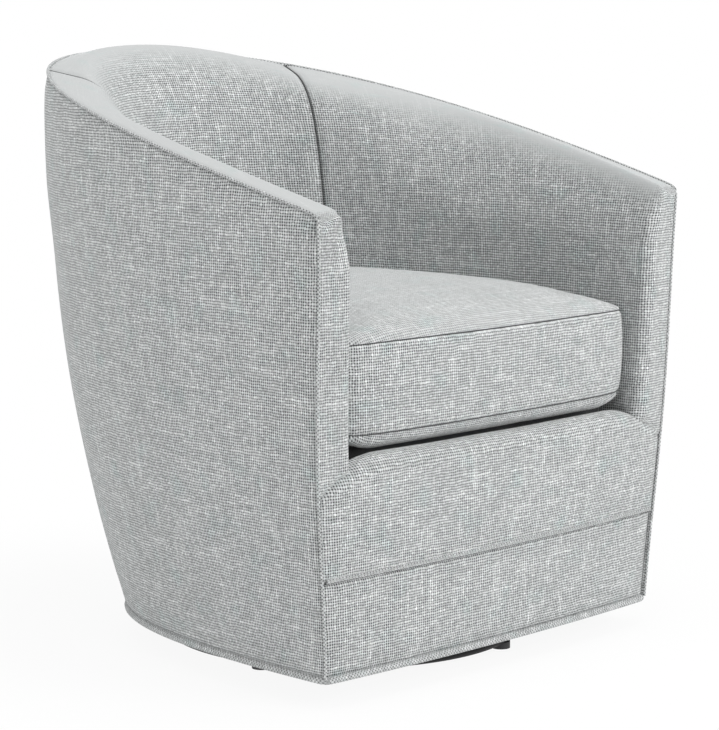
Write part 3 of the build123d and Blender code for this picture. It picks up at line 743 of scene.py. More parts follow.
def woven_cloth(name, yarn, cool, slub, gap, pitch, contrast=1.0):
    """Open plain weave of uneven yarns, with pale slubs, and with painted shade in the holes between the yarns and
    along the yarns' edges.
    """
    finish = Finish(name, yarn, 0.85, sheen_weight=0.5, sheen_roughness=0.4, sheen_tint=(0.96, 0.98, 0.98, 1))
    threads = finish.node("Attribute", {"attribute_name": "weave"}, out=1)
    warp_place = finish.node("SeparateXYZ", None, {0: threads}, out=0)
    weft_place = finish.node("SeparateXYZ", None, {0: threads}, out=1)
    tight = finish.node("SeparateXYZ", None, {0: threads}, out=2)
    across = warp_place / pitch + (finish.grain(threads, 45.0, 3.0, 0.7) - 0.5) * 1.2
    along = weft_place / pitch + (finish.grain(threads, 41.0, 3.0, 0.7) - 0.5) * 1.2
    warp = across.math("FLOOR")
    weft = along.math("FLOOR")
    warp_off = (across - warp - 0.5).math("ABSOLUTE")
    weft_off = (along - weft - 0.5).math("ABSOLUTE")
    warp_tone = finish.grain(finish.point(warp * 1.73, along * 0.06), 1.0, 2.0, 0.65)
    weft_tone = finish.grain(finish.point(across * 0.06, weft * 1.73, 9.0), 1.0, 2.0, 0.65)
    warp_half = 0.235 + 0.085 * finish.step(warp_tone, 0.4, 0.7)
    weft_half = 0.235 + 0.085 * finish.step(weft_tone, 0.4, 0.7)
    warp_gap = finish.step(warp_off, warp_half - 0.03, warp_half + 0.05)
    weft_gap = finish.step(weft_off, weft_half - 0.03, weft_half + 0.05)
    over = (warp + weft).math("FLOORED_MODULO", 2.0)
    warp_seen = (1 - warp_gap) * (over + weft_gap * (1 - over))
    tone = weft_tone + (warp_tone - weft_tone) * warp_seen
    pick = finish.node("TexWhiteNoise", {"noise_dimensions": "2D"}, {"Vector": finish.point(warp, weft)})
    colour = finish.blend(finish.step(finish.grain(threads, 26.0, 1.0), 0.52, 0.85), yarn, cool)
    colour = finish.blend(finish.step(tone, 0.5, 0.78) * 0.9 * (1 - 0.7 * tight), colour, slub)
    # Painted shade: the yarns are darkened near their edges, where they dip into the gaps, and each crossing also
    # gets a random tone
    between = warp_gap.math("MAXIMUM", weft_gap)
    shade = (1 - 0.3 * contrast * between * (1 - tight)) * (1 + (0.4 * pick - 0.2) * (1 - tight))
    shade = shade * (1 - 0.2 * tight)
    colour = finish.node("VectorMath", {"operation": "SCALE"}, {0: colour, "Scale": shade})
    # Painted shade in the holes where neither yarn lies, thinned where the cloth is tight
    colour = finish.blend(warp_gap * weft_gap * (1 - tight) * contrast, colour, gap)
    finish.set({"Base Color": colour})
    warp_round = 1 - (warp_off / 0.5) ** 2.0
    weft_round = 1 - (weft_off / 0.5) ** 2.0
    height = weft_round + (warp_round - weft_round) * warp_seen
    finish.relief(height * (1 - 0.6 * tight), pitch * 0.2, 0.7)
    return finish.material


def cover_cloth():
    """Pale grey cover of the chair."""
    known = bpy.data.materials.get("cover_cloth")
    if known:
        return known
    cloth = settings().cloth
    colors = [color[:] for color in (cloth.yarn, cloth.cool_yarn, cloth.slub, cloth.gap)]
    return woven_cloth("cover_cloth", *colors, cloth.pitch)


def sewing_thread():
    """Twisted thread of the plain seams, dark enough to paint the shade along the seam lines as well."""
    known = bpy.data.materials.get("sewing_thread")
    if known:
        return known
    color = settings().seams.thread[:]
    finish = Finish("sewing_thread", color, 0.8, sheen_weight=0.2)
    twist = finish.node("TexWave", {"bands_direction": "DIAGONAL"}, {
        "Vector": finish.object_place(), "Scale": 900.0, "Distortion": 1.5,
    })
    finish.set({"Base Color": finish.blend(twist, toned(color, 0.6), color)})
    finish.relief(twist, 0.0002, 0.5)
    return finish.material


def lining_cloth():
    """Plain fine lining of the deck, kept dark enough to paint the shadow round the cushion, with painted shade in
    its holes.
    """
    color = np.array(settings().finishes.lining[:])
    return woven_cloth("lining_cloth", color, color * 0.96, color * 1.1, color * 0.35, 0.0012, 0.6)


# Outside panel and welts


def outside_skin():
    """Grid of points over the outside of the barrel, with its weave."""
    panels = settings().panels
    shares = np.concatenate([np.linspace(0, 1, OUTSIDE_COLUMNS)[:-1], np.linspace(1, 0, OUTSIDE_COLUMNS)])
    sides = np.repeat((-1.0, 1.0), (OUTSIDE_COLUMNS - 1, OUTSIDE_COLUMNS))
    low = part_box("bottom_welt")[1].z - PANEL_LAP
    columns = []
    for share, side in zip(shares, sides):
        start = mix((WELT_IN - PANEL_LAP) / (HEM_FRONT + HEM_BACK) / 2, 1, share)
        high = meet_top(lambda z: barrel(start, z)[1]) - PANEL_LAP
        z = low + (high - low) * np.linspace(0, 1, OUTSIDE_ROWS)
        x, y = barrel(start, z)
        columns.append(np.stack([-side * x, y, z], axis=-1))
    skin = fold(np.stack(columns))
    normals = grid_normals(skin, None)
    across = lengths(skin[:, OUTSIDE_ROWS // 2])
    weave = cloth_grid(across, skin[..., 2])
    up = lengths(skin, axis=1)
    under = up[:, -1:] - up
    edge = np.minimum(up, under)
    drawn = tuck(np.minimum(edge, from_ends(across)), panels.welt_tuck, TUCK_WIDTH)
    bulge = SIDE_BULGE * smooth(edge / SIDE_FADE)
    bulge = bulge + TOP_BULGE * eased_in(under, *TOP_BULGE_GROWS) * (1 - eased_in(under, *TOP_BULGE_ENDS))
    bulge = bulge + uneven(skin, "outside") * smooth(edge / 0.03)
    return skin + normals * (bulge - drawn)[..., None], weave


class CHAIR_OT_outside_panel(bpy.types.Operator):
    """Cloth over the outside of the arms and the back"""

    bl_idname = "barrel_chair.outside_panel"
    bl_label = "Outside Panel"

    def execute(self, context):
        skin, weave = outside_skin()
        piece = panel("outside_panel", skin, weave, settings().panels.cover, cover_cloth())
        dress(piece, "chair", ["outside_cover"])
        return {"FINISHED"}


class Grower:
    """A geometry node tree with named inputs that makes a mesh from a path."""

    def __init__(self, name, inputs):
        self.tree = bpy.data.node_groups.new(name, "GeometryNodeTree")
        self.keys = {}
        for label, kind in inputs.items():
            socket = self.tree.interface.new_socket(label, in_out="INPUT", socket_type="NodeSocket" + kind)
            self.keys[label] = socket.identifier
        self.tree.interface.new_socket("Mesh", in_out="OUTPUT", socket_type="NodeSocketGeometry")
        self.given = self.tree.nodes.new("NodeGroupInput").outputs

    def add(self, kind, inputs, out=0, **choices):
        """Adds a node with its inputs and choices, and gives one of its outputs."""
        node = self.tree.nodes.new(kind)
        for key, value in choices.items():
            setattr(node, key, value)
        feed(self.tree, node, inputs)
        return node.outputs[out]

    def math(self, operation, first, second):
        """Adds a Math node."""
        return self.add("ShaderNodeMath", {0: first, 1: second}, operation=operation)

    def close(self, mesh):
        """Ends the tree with plain geometry in the given material."""
        whole = self.add("GeometryNodeRealizeInstances", {"Geometry": mesh})
        dressed = self.add("GeometryNodeSetMaterial", {"Geometry": whole, "Material": self.given["Material"]})
        self.tree.links.new(dressed, self.tree.nodes.new("NodeGroupOutput").inputs[0])

    def grow(self, name, paths, closed, **values):
        """Object that the tree makes from paths of points."""
        source = bpy.data.objects.new(name + "_paths", path_mesh(name, paths, closed))
        bpy.context.scene.collection.objects.link(source)
        modifier = source.modifiers.new("nodes", "NODES")
        modifier.node_group = self.tree
        for label, value in values.items():
            modifier[self.keys[label.title()]] = value
        mesh = plain_mesh(source, name)
        bpy.data.objects.remove(source)
        face_out(mesh)
        return new_object(name, mesh, values["material"])


def path_mesh(name, paths, closed):
    """Mesh of the edges along paths."""
    points, edges = [], []
    for path in paths:
        first = len(points)
        points += np.asarray(path).tolist()
        edges += [(i, i + 1) for i in range(first, len(points) - 1)]
        edges += [(len(points) - 1, first)] if closed else []
    mesh = bpy.data.meshes.new(name + "_paths")
    mesh.from_pydata(points, edges, [])
    return mesh


def cord_grower():
    """Geometry nodes that sweep a covered cord along a path, with its cloth cut on the bias."""
    nodes = Grower("covered_cord", {
        "Path": "Geometry", "Radius": "Float", "Sides": "Int", "Material": "Material",
    })

    def with_length(shape, name):
        run = nodes.add("GeometryNodeSplineParameter", {}, "Length")
        return nodes.add(
            "GeometryNodeStoreNamedAttribute", {"Geometry": shape, "Name": name, "Value": run},
            data_type="FLOAT", domain="POINT",
        )

    def length_of(name):
        return nodes.add("GeometryNodeInputNamedAttribute", {"Name": name}, "Attribute", data_type="FLOAT")

    curve = with_length(nodes.add("GeometryNodeMeshToCurve", {"Mesh": nodes.given["Path"]}), "run")
    ring = nodes.add("GeometryNodeCurvePrimitiveCircle", {
        "Resolution": nodes.given["Sides"], "Radius": nodes.given["Radius"],
    })
    ring = with_length(ring, "girth")
    swept = nodes.add("GeometryNodeCurveToMesh", {"Curve": curve, "Profile Curve": ring, "Fill Caps": True})
    along = length_of("run")
    about = length_of("girth")
    warp = nodes.math("MULTIPLY", nodes.math("ADD", along, about), BIAS)
    weft = nodes.math("MULTIPLY", nodes.math("SUBTRACT", along, about), BIAS)
    threads = nodes.add("ShaderNodeCombineXYZ", {"X": warp, "Y": weft, "Z": CORD_TIGHTNESS})
    nodes.close(nodes.add(
        "GeometryNodeStoreNamedAttribute", {"Geometry": swept, "Name": "weave", "Value": threads},
        data_type="FLOAT_VECTOR", domain="POINT",
    ))
    return nodes


def stitch_grower():
    """Geometry nodes that lay short round stitches along a path."""
    nodes = Grower("stitches", {
        "Path": "Geometry", "Spacing": "Float", "Length": "Float", "Radius": "Float", "Material": "Material",
    })
    curve = nodes.add("GeometryNodeMeshToCurve", {"Mesh": nodes.given["Path"]})
    spots = nodes.tree.nodes.new("GeometryNodeCurveToPoints")
    spots.mode = "LENGTH"
    feed(nodes.tree, spots, {"Curve": curve, "Length": nodes.given["Spacing"]})
    turn = nodes.add("FunctionNodeAlignRotationToVector", {"Vector": spots.outputs["Tangent"]}, axis="Z")
    stitch = nodes.add("GeometryNodeMeshCylinder", {
        "Vertices": STITCH_SIDES, "Radius": nodes.given["Radius"], "Depth": nodes.given["Length"],
    })
    nodes.close(nodes.add("GeometryNodeInstanceOnPoints", {
        "Points": spots.outputs["Points"], "Instance": stitch, "Rotation": turn,
    }))
    return nodes


def cord(name, points, radius, closed=False):
    """Covered cord along a path."""
    sides = settings().welts.sides
    return cord_grower().grow(name, [points], closed, radius=radius, sides=sides, material=cover_cloth())


def stitches(name, paths, closed=False):
    """Row of stitches along each path."""
    seams = settings().seams
    return stitch_grower().grow(
        name, paths, closed, spacing=seams.spacing, length=seams.length, radius=seams.radius,
        material=sewing_thread(),
    )


def even(points, step, closed=False):
    """Points at an even step along a path."""
    points = np.asarray(points, float)
    if closed:
        points = np.concatenate([points, points[:1]])
    run = lengths(points)
    count = max(int(round(run[-1] / step)), 8)
    stops = np.linspace(0, run[-1], count + 1)
    spaced = np.stack([np.interp(stops, run, points[:, i]) for i in range(3)], axis=-1)
    return spaced[:-1] if closed else spaced


def eased(points, rounds, closed=False):
    """Path with its corners rounded by repeated averaging."""
    points = points.copy()
    for _ in range(rounds):
        around = (np.roll(points, 1, axis=0) + np.roll(points, -1, axis=0)) / 2
        moved = (points + around) / 2
        if not closed:
            moved[[0, -1]] = points[[0, -1]]
        points = moved
    return points


def edge_path(radius):
    """Path of the welt up one arm front, round the top and down the other arm front."""
    sink = radius - EDGE_WELT_PROUD
    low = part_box("bottom_welt")[1].z - radius
    high = meet_top(front_line) - sink
    z = np.linspace(low, high, 120)
    upright = np.stack([-(half_width(z) - sink), front_line(z) + sink, z], axis=-1)
    top = []
    for share in np.linspace(0, 1, 160)[1:]:
        z = meet_top(lambda z: barrel(share, z, sink)[1])
        x, y = barrel(share, z, sink)
        top.append((x, y, z - sink))
    half = np.concatenate([upright, np.array(top)])
    other = half[-2::-1] * (-1, 1, 1)
    return eased(even(fold(np.concatenate([half, other])), EDGE_STEP), 5)


def hem_path(radius):
    """Closed path of the welt round the bottom edge."""
    sink = radius - HEM_WELT_PROUD
    z = HEM_HEIGHT + radius
    shares = np.linspace(0, 1, 140)
    x, y = barrel(shares, z, sink)
    left = np.stack([x, y + sink * (1 - shares), np.full_like(x, z)], axis=-1)
    front_x = np.linspace(1, -1, 90)[1:-1] * (half_width(z) - sink)
    front = np.stack([front_x, front_face(front_x, z) + sink, np.full_like(front_x, z)], axis=-1)
    loop = np.concatenate([left, left[-2::-1] * (-1, 1, 1), front])
    return eased(even(loop, HEM_STEP, True), 3, True)


def fold_path(radius):
    """Path of the folded lower edge of the front border."""
    end = half_width(BORDER_SEAM) - WELT_IN - radius - FOLD_END_GAP
    x = np.linspace(-end, end, 140)
    z = np.full_like(x, BORDER_SEAM + FOLD_SINK * radius)
    y = front_face(x, z) + FOLD_SINK * radius
    wander = np.array([noise.noise(Vector((11 * v, 3.7, 0))) for v in x])
    return np.stack([x, y - 0.0006 * wander, z + 0.0008 * wander], axis=-1)


class CHAIR_OT_welts(bpy.types.Operator):
    """Covered cords along the edges"""

    bl_idname = "barrel_chair.welts"
    bl_label = "Welts"

    def execute(self, context):
        welts = settings().welts
        edge = cord("edge_welt", edge_path(welts.edge), welts.edge)
        dress(edge, "chair", ["top_welt", "front_welts"])
        hem = cord("hem_welt", hem_path(welts.bottom), welts.bottom, True)
        dress(hem, "chair", ["bottom_welt"])
        path = fold_path(welts.fold)
        edge_fold = cord("border_fold", path, welts.fold)
        dress(edge_fold, "chair", ["front_border_welt"])
        # A row of dark topstitches under the fold, which also paints the shadow line beneath the fold
        sewn = stitches("border_fold_stitches", [path + (0, 0.0008, -welts.fold)])
        dress(sewn, "chair", [])
        return {"FINISHED"}


# Inside of the back and the arms


def on_top(place):
    """Point where a wall meets the sloping top."""
    z = meet_top(lambda height: place(height)[1])
    return np.array([*place(z), z], float)


def profile(inner, outer, flat, crown, weight):
    """Rows of points up the inside of a wall, over its rolled edge and along its crowned top to the rim."""
    edge = on_top(inner)
    rim = on_top(outer)
    width = np.linalg.norm(rim - edge)
    reach = ROLL_SHARE * (width - flat) + ROLL_DEPTH
    z = mix(DECK_LOW, edge[2] - reach, np.linspace(0, 1, WALL_ROWS))
    wall = np.stack([*inner(z), z], axis=-1)
    peak = edge + (0, 0, crown * width / flat)
    end = mix(rim, peak, flat / width)
    t = np.linspace(0, 1, ROLL_ROWS)[1:, None]
    parts = ((1 - t) ** 2, 2 * weight * t * (1 - t), t**2)
    arc = (parts[0] * wall[-1] + parts[1] * peak + parts[2] * end) / sum(parts)
    band = mix(end, mix(rim, peak, WELT_IN / width), np.linspace(0, 1, BAND_ROWS)[1:, None])
    return np.concatenate([wall, arc, band])


def weave_of(skin):
    """Weave of an upright panel, tighter over its top, with its running lengths across and up."""
    across = lengths(skin[:, WEAVE_ROW])
    up = lengths(skin, axis=1)
    level = skin[:, WEAVE_ROW, 2][:, None] + up - up[:, WEAVE_ROW][:, None]
    rows = np.arange(skin.shape[1])
    tight = np.zeros_like(level) + smooth((rows - WALL_ROWS - TIGHT_ROWS) / TIGHT_ROWS)
    return cloth_grid(across, level, tight), across, up


def back_skin():
    """Grid of points over the inside back between its two seams, with its weave."""
    panels = settings().panels
    columns = []
    for part in np.linspace(-1, 1, BACK_COLUMNS):
        side = 1 if part < 0 else -1

        def wall(curve, part=part, side=side):
            def place(z):
                x, y = curve(seam_share(curve, z, abs(part)), z)
                return side * x, y
            return place

        crown = panels.back_crown * (1 - part**2)
        flat = mix(panels.back_flat, panels.seam_flat, part**4)
        roll = mix(panels.back_roll, panels.seam_roll, part**4)
        columns.append(profile(wall(well), wall(barrel), flat, crown, roll))
    skin = np.stack(columns)
    normals = grid_normals(skin, BACK_VIEW)
    weave, across, up = weave_of(skin)
    seam = from_ends(across)
    rim = up[:, -1:] - up
    swell = panels.back_swell * smooth(seam / BACK_SEAM_FADE) * smooth(rim / BACK_RIM_FADE)
    swell = swell + uneven(skin, "back")
    drawn = tuck(rim, panels.rim_tuck, RIM_TUCK_WIDTH)
    drawn = np.maximum(drawn, tuck(seam, panels.seam_tuck, SEAM_TUCK_WIDTH))
    return skin + normals * (swell * smooth(seam / 0.02) - drawn)[..., None], weave


class CHAIR_OT_inside_back(bpy.types.Operator):
    """Padded inside back between its two seams"""

    bl_idname = "barrel_chair.inside_back"
    bl_label = "Inside Back"

    def execute(self, context):
        skin, weave = back_skin()
        piece = panel("inside_back", skin, weave, settings().panels.pad, cover_cloth(), BACK_VIEW)
        dress(piece, "chair", ["inside_back_cover", "back_pad"])
        return {"FINISHED"}


def arm_wall_columns():
    """Profiles of the left arm from the back seam to the start of its rounded front."""
    panels = settings().panels
    columns = []
    for share in np.linspace(0, 1, ARM_COLUMNS):

        def inner(z, share=share):
            z = np.asarray(z, float)
            depth = 3 * WELL_SIDE_REACH * (well_back_line(z) - front_line(z))
            bow = front_face(half_width(z) - ARM_THICKNESS, z) - front_line(z)
            return well(mix(seam_share(well, z), (ARM_EDGE_RADIUS + bow) / depth, share), z)

        def outer(z, share=share):
            z = np.asarray(z, float)
            depth = 3 * SIDE_REACH * (back_line(z) - front_line(z))
            return barrel(mix(seam_share(barrel, z), ARM_EDGE_RADIUS / depth, share), z)

        crown = panels.arm_crown * eased_in(share, *ARM_CROWN_IN)
        crown = mix(crown, panels.front_crown, eased_in(share, *FRONT_CROWN_IN))
        along = eased_in(share, *ARM_ROLL_IN)
        flat = mix(panels.seam_flat, panels.arm_flat, along)
        columns.append(profile(inner, outer, flat, crown, mix(panels.seam_roll, panels.arm_roll, along)))
    return columns


def arm_front_columns(last):
    """Profiles that carry the left arm round its front edge and across its front to the outer welt."""
    slope = (top_line(0.01 - ARM_FRONT) - top_line(-ARM_FRONT)) / 0.01
    top = last[-1, 2]
    over = smooth((last[:, 2] - last[WALL_ROWS - 1, 2]) / (top - last[WALL_ROWS - 1, 2]))
    ahead = last.copy()
    ahead[:, 2] -= slope * ARM_EDGE_RADIUS * over
    along = unit(np.gradient(ahead[:, [0, 2]], axis=0))
    inward = np.stack([-along[:, 1], np.zeros(len(last)), along[:, 0]], axis=-1)
    radius = (ARM_EDGE_RADIUS * np.clip((top - last[:, 2]) / ARM_EDGE_FADE, 0, 1))[:, None]
    run = lengths(ahead * (1, 0, 1))
    left = (run[-1] - run) / run[-1]
    height = mix(ahead[-1, 2], BORDER_END - ARM_FRONT_LAP, left)
    welt = np.stack([-(half_width(height) - WELT_IN), np.zeros(len(last)), height], axis=-1)
    columns = []
    for turn in np.linspace(0, pi / 2, ARM_TURN_COLUMNS)[1:]:
        column = mix(last, ahead, sin(turn)) + inward * radius * (1 - cos(turn))
        columns.append((column, ARM_EDGE_RADIUS * (1 - sin(turn))))
    shares = np.linspace(0, 1, ARM_FRONT_COLUMNS)[1:]
    columns += [(mix(ahead + inward * radius, welt, share), 0.0) for share in shares]
    for column, behind in columns:
        sunk = ARM_FRONT_SINK * smooth((border_height(column[:, 0])[0] + 0.003 - column[:, 2]) / 0.01)
        column[:, 1] = front_face(column[:, 0], column[:, 2]) + np.maximum(behind, sunk)
    return [column for column, _ in columns]


def arm_skin():
    """Grid of points over the left arm, inside, top and front, with its weave."""
    panels = settings().panels
    walls = arm_wall_columns()
    skin = fold(np.stack(walls + arm_front_columns(walls[-1])))
    normals = grid_normals(skin, ARM_VIEW)
    weave, across, up = weave_of(skin)
    past = np.clip(np.arange(len(skin) - len(walls)), 0, 7)
    weave[len(walls):, :, 2] *= np.linspace(1, 0, 8)[past][:, None]
    seam = across[:, None]
    rim = up[:, -1:] - up
    end = (across[-1] - across)[:, None]
    swell = panels.arm_swell * smooth(seam / ARM_SEAM_FADE) * smooth(rim / ARM_RIM_FADE)
    swell = swell * smooth(end / ARM_END_FADE)
    swell = swell + uneven(skin, "arm") * smooth(seam / 0.02) * smooth(end / 0.05)
    drawn = tuck(rim, panels.rim_tuck, RIM_TUCK_WIDTH)
    drawn = np.maximum(drawn, tuck(seam, panels.seam_tuck, SEAM_TUCK_WIDTH))
    drawn = np.maximum(drawn, tuck(end, 0.7 * panels.rim_tuck, RIM_TUCK_WIDTH))
    return skin + normals * (swell - drawn)[..., None], weave


class CHAIR_OT_inside_arms(bpy.types.Operator):
    """Padded arms, wrapped over the top and round the front"""

    bl_idname = "barrel_chair.inside_arms"
    bl_label = "Inside Arms"

    def execute(self, context):
        skin, weave = arm_skin()
        for name, side in (("left", 1), ("right", -1)):
            mirror = np.array((side, 1, 1))
            piece = panel(
                "inside_arm_" + name, skin * mirror, weave * mirror + (RIGHT_ARM_WEAVE * (side < 0), 0, 0),
                settings().panels.pad, cover_cloth(), ARM_VIEW * mirror,
            )
            dress(piece, "chair", ["inside_arm_cover_" + name, "arm_pad_" + name])
        return {"FINISHED"}


class CHAIR_OT_back_seams(bpy.types.Operator):
    """Stitches in the two seams beside the inside back"""

    bl_idname = "barrel_chair.back_seams"
    bl_label = "Back Seams"

    def execute(self, context):
        seam = back_skin()[0][0]
        rise = np.cross((cos(SEAM_TURN), sin(SEAM_TURN), 0), np.gradient(seam, axis=0))
        seam = seam + settings().seams.lift * unit(rise)
        piece = stitches("back_seam_stitches", [seam, seam * (-1, 1, 1)])
        dress(piece, "chair", [])
        return {"FINISHED"}


# Front of the seat


def border_height(x):
    """Height of the border's top, with its shoulders drawn down to the welts."""
    inner = half_width(BORDER_TOP) - ARM_THICKNESS
    end = half_width(BORDER_END) - WELT_IN
    width = end - inner + SHOULDER_SPREAD
    fall = BORDER_TOP - BORDER_END
    radius = (width**2 + fall**2) / (2 * fall)
    past = np.clip(abs(x) - end + width, 0, width)
    drop = radius - np.sqrt(radius**2 - past**2)
    return BORDER_TOP - drop, np.clip((abs(x) - inner) / (end - inner), 0, 1)


def border_skin():
    """Grid of points over the front border, from the deck over the roll to its folded lower edge."""
    panels = settings().panels
    columns = []
    for share in np.linspace(-1, 1, BORDER_COLUMNS):
        wide = share * (half_width(BORDER_END) - WELT_IN)
        top, shoulder = border_height(wide)
        roll = mix(BORDER_ROLL, SHOULDER_ROLL, smooth(shoulder))
        deep = mix(BORDER_DEPTH, roll + 0.002, smooth(shoulder * 2))
        heights = np.linspace(top - roll, BORDER_SEAM, BORDER_FACE_ROWS)
        x = share * (half_width(heights) - WELT_IN)
        face = np.stack([x, front_face(x, heights), heights], axis=-1)
        corner = front_face(wide, top)
        turns = np.linspace(0, pi / 2, BORDER_ARC_ROWS)
        arc_y = corner + roll * (1 - np.sin(turns))
        arc_z = top - roll * (1 - np.cos(turns))
        arc = np.stack([np.full_like(turns, wide), arc_y, arc_z], axis=-1)
        behind = np.linspace(corner + deep, corner + roll, BORDER_BACK_ROWS)
        back = np.stack([np.full_like(behind, wide), behind, np.full_like(behind, top)], axis=-1)
        columns.append(np.concatenate([back[:-1], arc[:-1], face]))
    skin = np.stack(columns)
    normals = grid_normals(skin, BORDER_VIEW)
    across = lengths(skin[:, -10])
    down = lengths(skin, axis=1)
    weave = cloth_grid(across, BORDER_SEAM + down[:, -1:] - down)
    end = from_ends(across)
    bottom = down[:, -1:] - down
    past_crest = np.arange(skin.shape[1]) - BORDER_BACK_ROWS
    swell = panels.border_swell * smooth(end / BORDER_END_FADE) * smooth(bottom / BORDER_LOW_FADE)
    swell = swell * smooth((past_crest + 2) / (BORDER_ARC_ROWS - 1))
    swell = swell - BORDER_FALL * smooth(-past_crest / 6) * smooth(end / 0.06)
    swell = swell + uneven(skin, "border") * smooth(end / 0.03)
    drawn = tuck(end, panels.welt_tuck, TUCK_WIDTH)
    drawn = np.maximum(drawn, tuck(bottom, panels.welt_tuck, RIM_TUCK_WIDTH))
    return skin + normals * (swell - drawn)[..., None], weave + BORDER_WEAVE


class CHAIR_OT_front_border(bpy.types.Operator):
    """Padded roll across the front of the seat"""

    bl_idname = "barrel_chair.front_border"
    bl_label = "Front Border"

    def execute(self, context):
        skin, weave = border_skin()
        piece = panel("front_border", skin, weave, BORDER_COVER, cover_cloth(), BORDER_VIEW)
        dress(piece, "chair", ["front_border_cover", "front_border_pad"])
        return {"FINISHED"}


def kick_skin():
    """Grid of points over the lower front panel, with its weave."""
    panels = settings().panels
    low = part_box("bottom_welt")[1].z - 0.003
    heights = np.linspace(low, BORDER_SEAM + 0.002, KICK_ROWS)
    columns = []
    for share in np.linspace(-1, 1, KICK_COLUMNS):
        x = share * (half_width(heights) - WELT_IN)
        columns.append(np.stack([x, front_face(x, heights) + KICK_RECESS, heights], axis=-1))
    skin = np.stack(columns)
    normals = grid_normals(skin, KICK_VIEW)
    across = lengths(skin[:, KICK_ROWS // 2])
    end = from_ends(across)
    rise = (heights - low)[None]
    swell = KICK_SWELL * smooth(end / KICK_END_FADE) * smooth(rise / KICK_LOW_FADE)
    swell = swell + uneven(skin, "kick") * smooth(end / 0.03)
    drawn = np.maximum(tuck(end, panels.welt_tuck, TUCK_WIDTH), tuck(rise, panels.welt_tuck, 0.006))
    drawn = np.maximum(drawn, tuck(BORDER_SEAM - heights[None], FOLD_GROOVE, TUCK_WIDTH))
    weave = cloth_grid(across, skin[..., 2]) + KICK_WEAVE
    return skin + normals * (swell - drawn)[..., None], weave


class CHAIR_OT_kick_panel(bpy.types.Operator):
    """Lower front panel under the border"""

    bl_idname = "barrel_chair.kick_panel"
    bl_label = "Kick Panel"

    def execute(self, context):
        skin, weave = kick_skin()
        piece = panel("lower_front_panel", skin, weave, KICK_COVER, cover_cloth(), KICK_VIEW)
        dress(piece, "chair", ["kick_panel"])
        return {"FINISHED"}


# Boxed pads: the loose cushion and the deck under it


def pad_outline(level, gap, front, bow, ease, count=900):
    """Closed plan outline inside the seat well, from the left front corner round the back, as X and Y."""
    z = np.full(count, level)
    first = share_past(lambda s, h: well(s, h, gap), level, lambda x, y: y > front, -0.2, 0.8)
    x, y = well(np.linspace(first, 1, count), z, gap)
    left = np.stack([x, y], axis=-1)
    half = -x[0]
    across = np.linspace(half, -half, count)[1:-1]
    fore = np.stack([across, front - bow * (1 - (across / half) ** 2)], axis=-1)
    loop = np.concatenate([left, left[-2::-1] * (-1, 1), fore])
    flat = np.concatenate([loop, np.zeros((len(loop), 1))], axis=-1)
    spaced = even(flat, OUTLINE_STEP, True)
    return eased(spaced, int((ease / OUTLINE_STEP) ** 2), True)[:, :2]


def four_sides(outline, stops):
    """The outline cut into left, back, right and front sides at its corners, each at the same stops."""
    loop = np.concatenate([outline, outline[:1]])
    flat = np.concatenate([loop, np.zeros((len(loop), 1))], axis=-1)
    run = lengths(flat)

    def at(length):
        length = np.mod(length, run[-1])
        return np.stack([np.interp(length, run, loop[:, i]) for i in (0, 1)], axis=-1)

    marks = [run[np.argmax(outline @ np.array(corner))] for corner in PAD_CORNERS]
    wrapped = marks[0] > marks[1]
    marks = [marks[0] - run[-1] * wrapped, *marks[1:], marks[0] + run[-1] * (not wrapped)]
    return [at(mix(a, b, stops)) for a, b in zip(marks, marks[1:])]


def coons(sides, stops):
    """Grid of plan points that fills the four sides."""
    left, back, right, front = sides
    right = right[::-1]
    front = front[::-1]
    u = stops[:, None, None]
    v = stops[None, :, None]
    ruled_u = (1 - u) * left[None] + u * right[None]
    ruled_v = (1 - v) * front[:, None] + v * back[:, None]
    corners = (1 - u) * (1 - v) * left[0] + (1 - u) * v * left[-1]
    corners = corners + u * (1 - v) * right[0] + u * v * right[-1]
    return ruled_u + ruled_v - corners


def edge_stops(inner, close):
    """Stops from 0 to 1 that lie closer together near both ends."""
    middle = np.linspace(close[-1], 1 - close[-1], inner)
    return np.concatenate([[0.0], close[:-1], middle, 1 - np.array(close[:-1])[::-1], [1.0]])


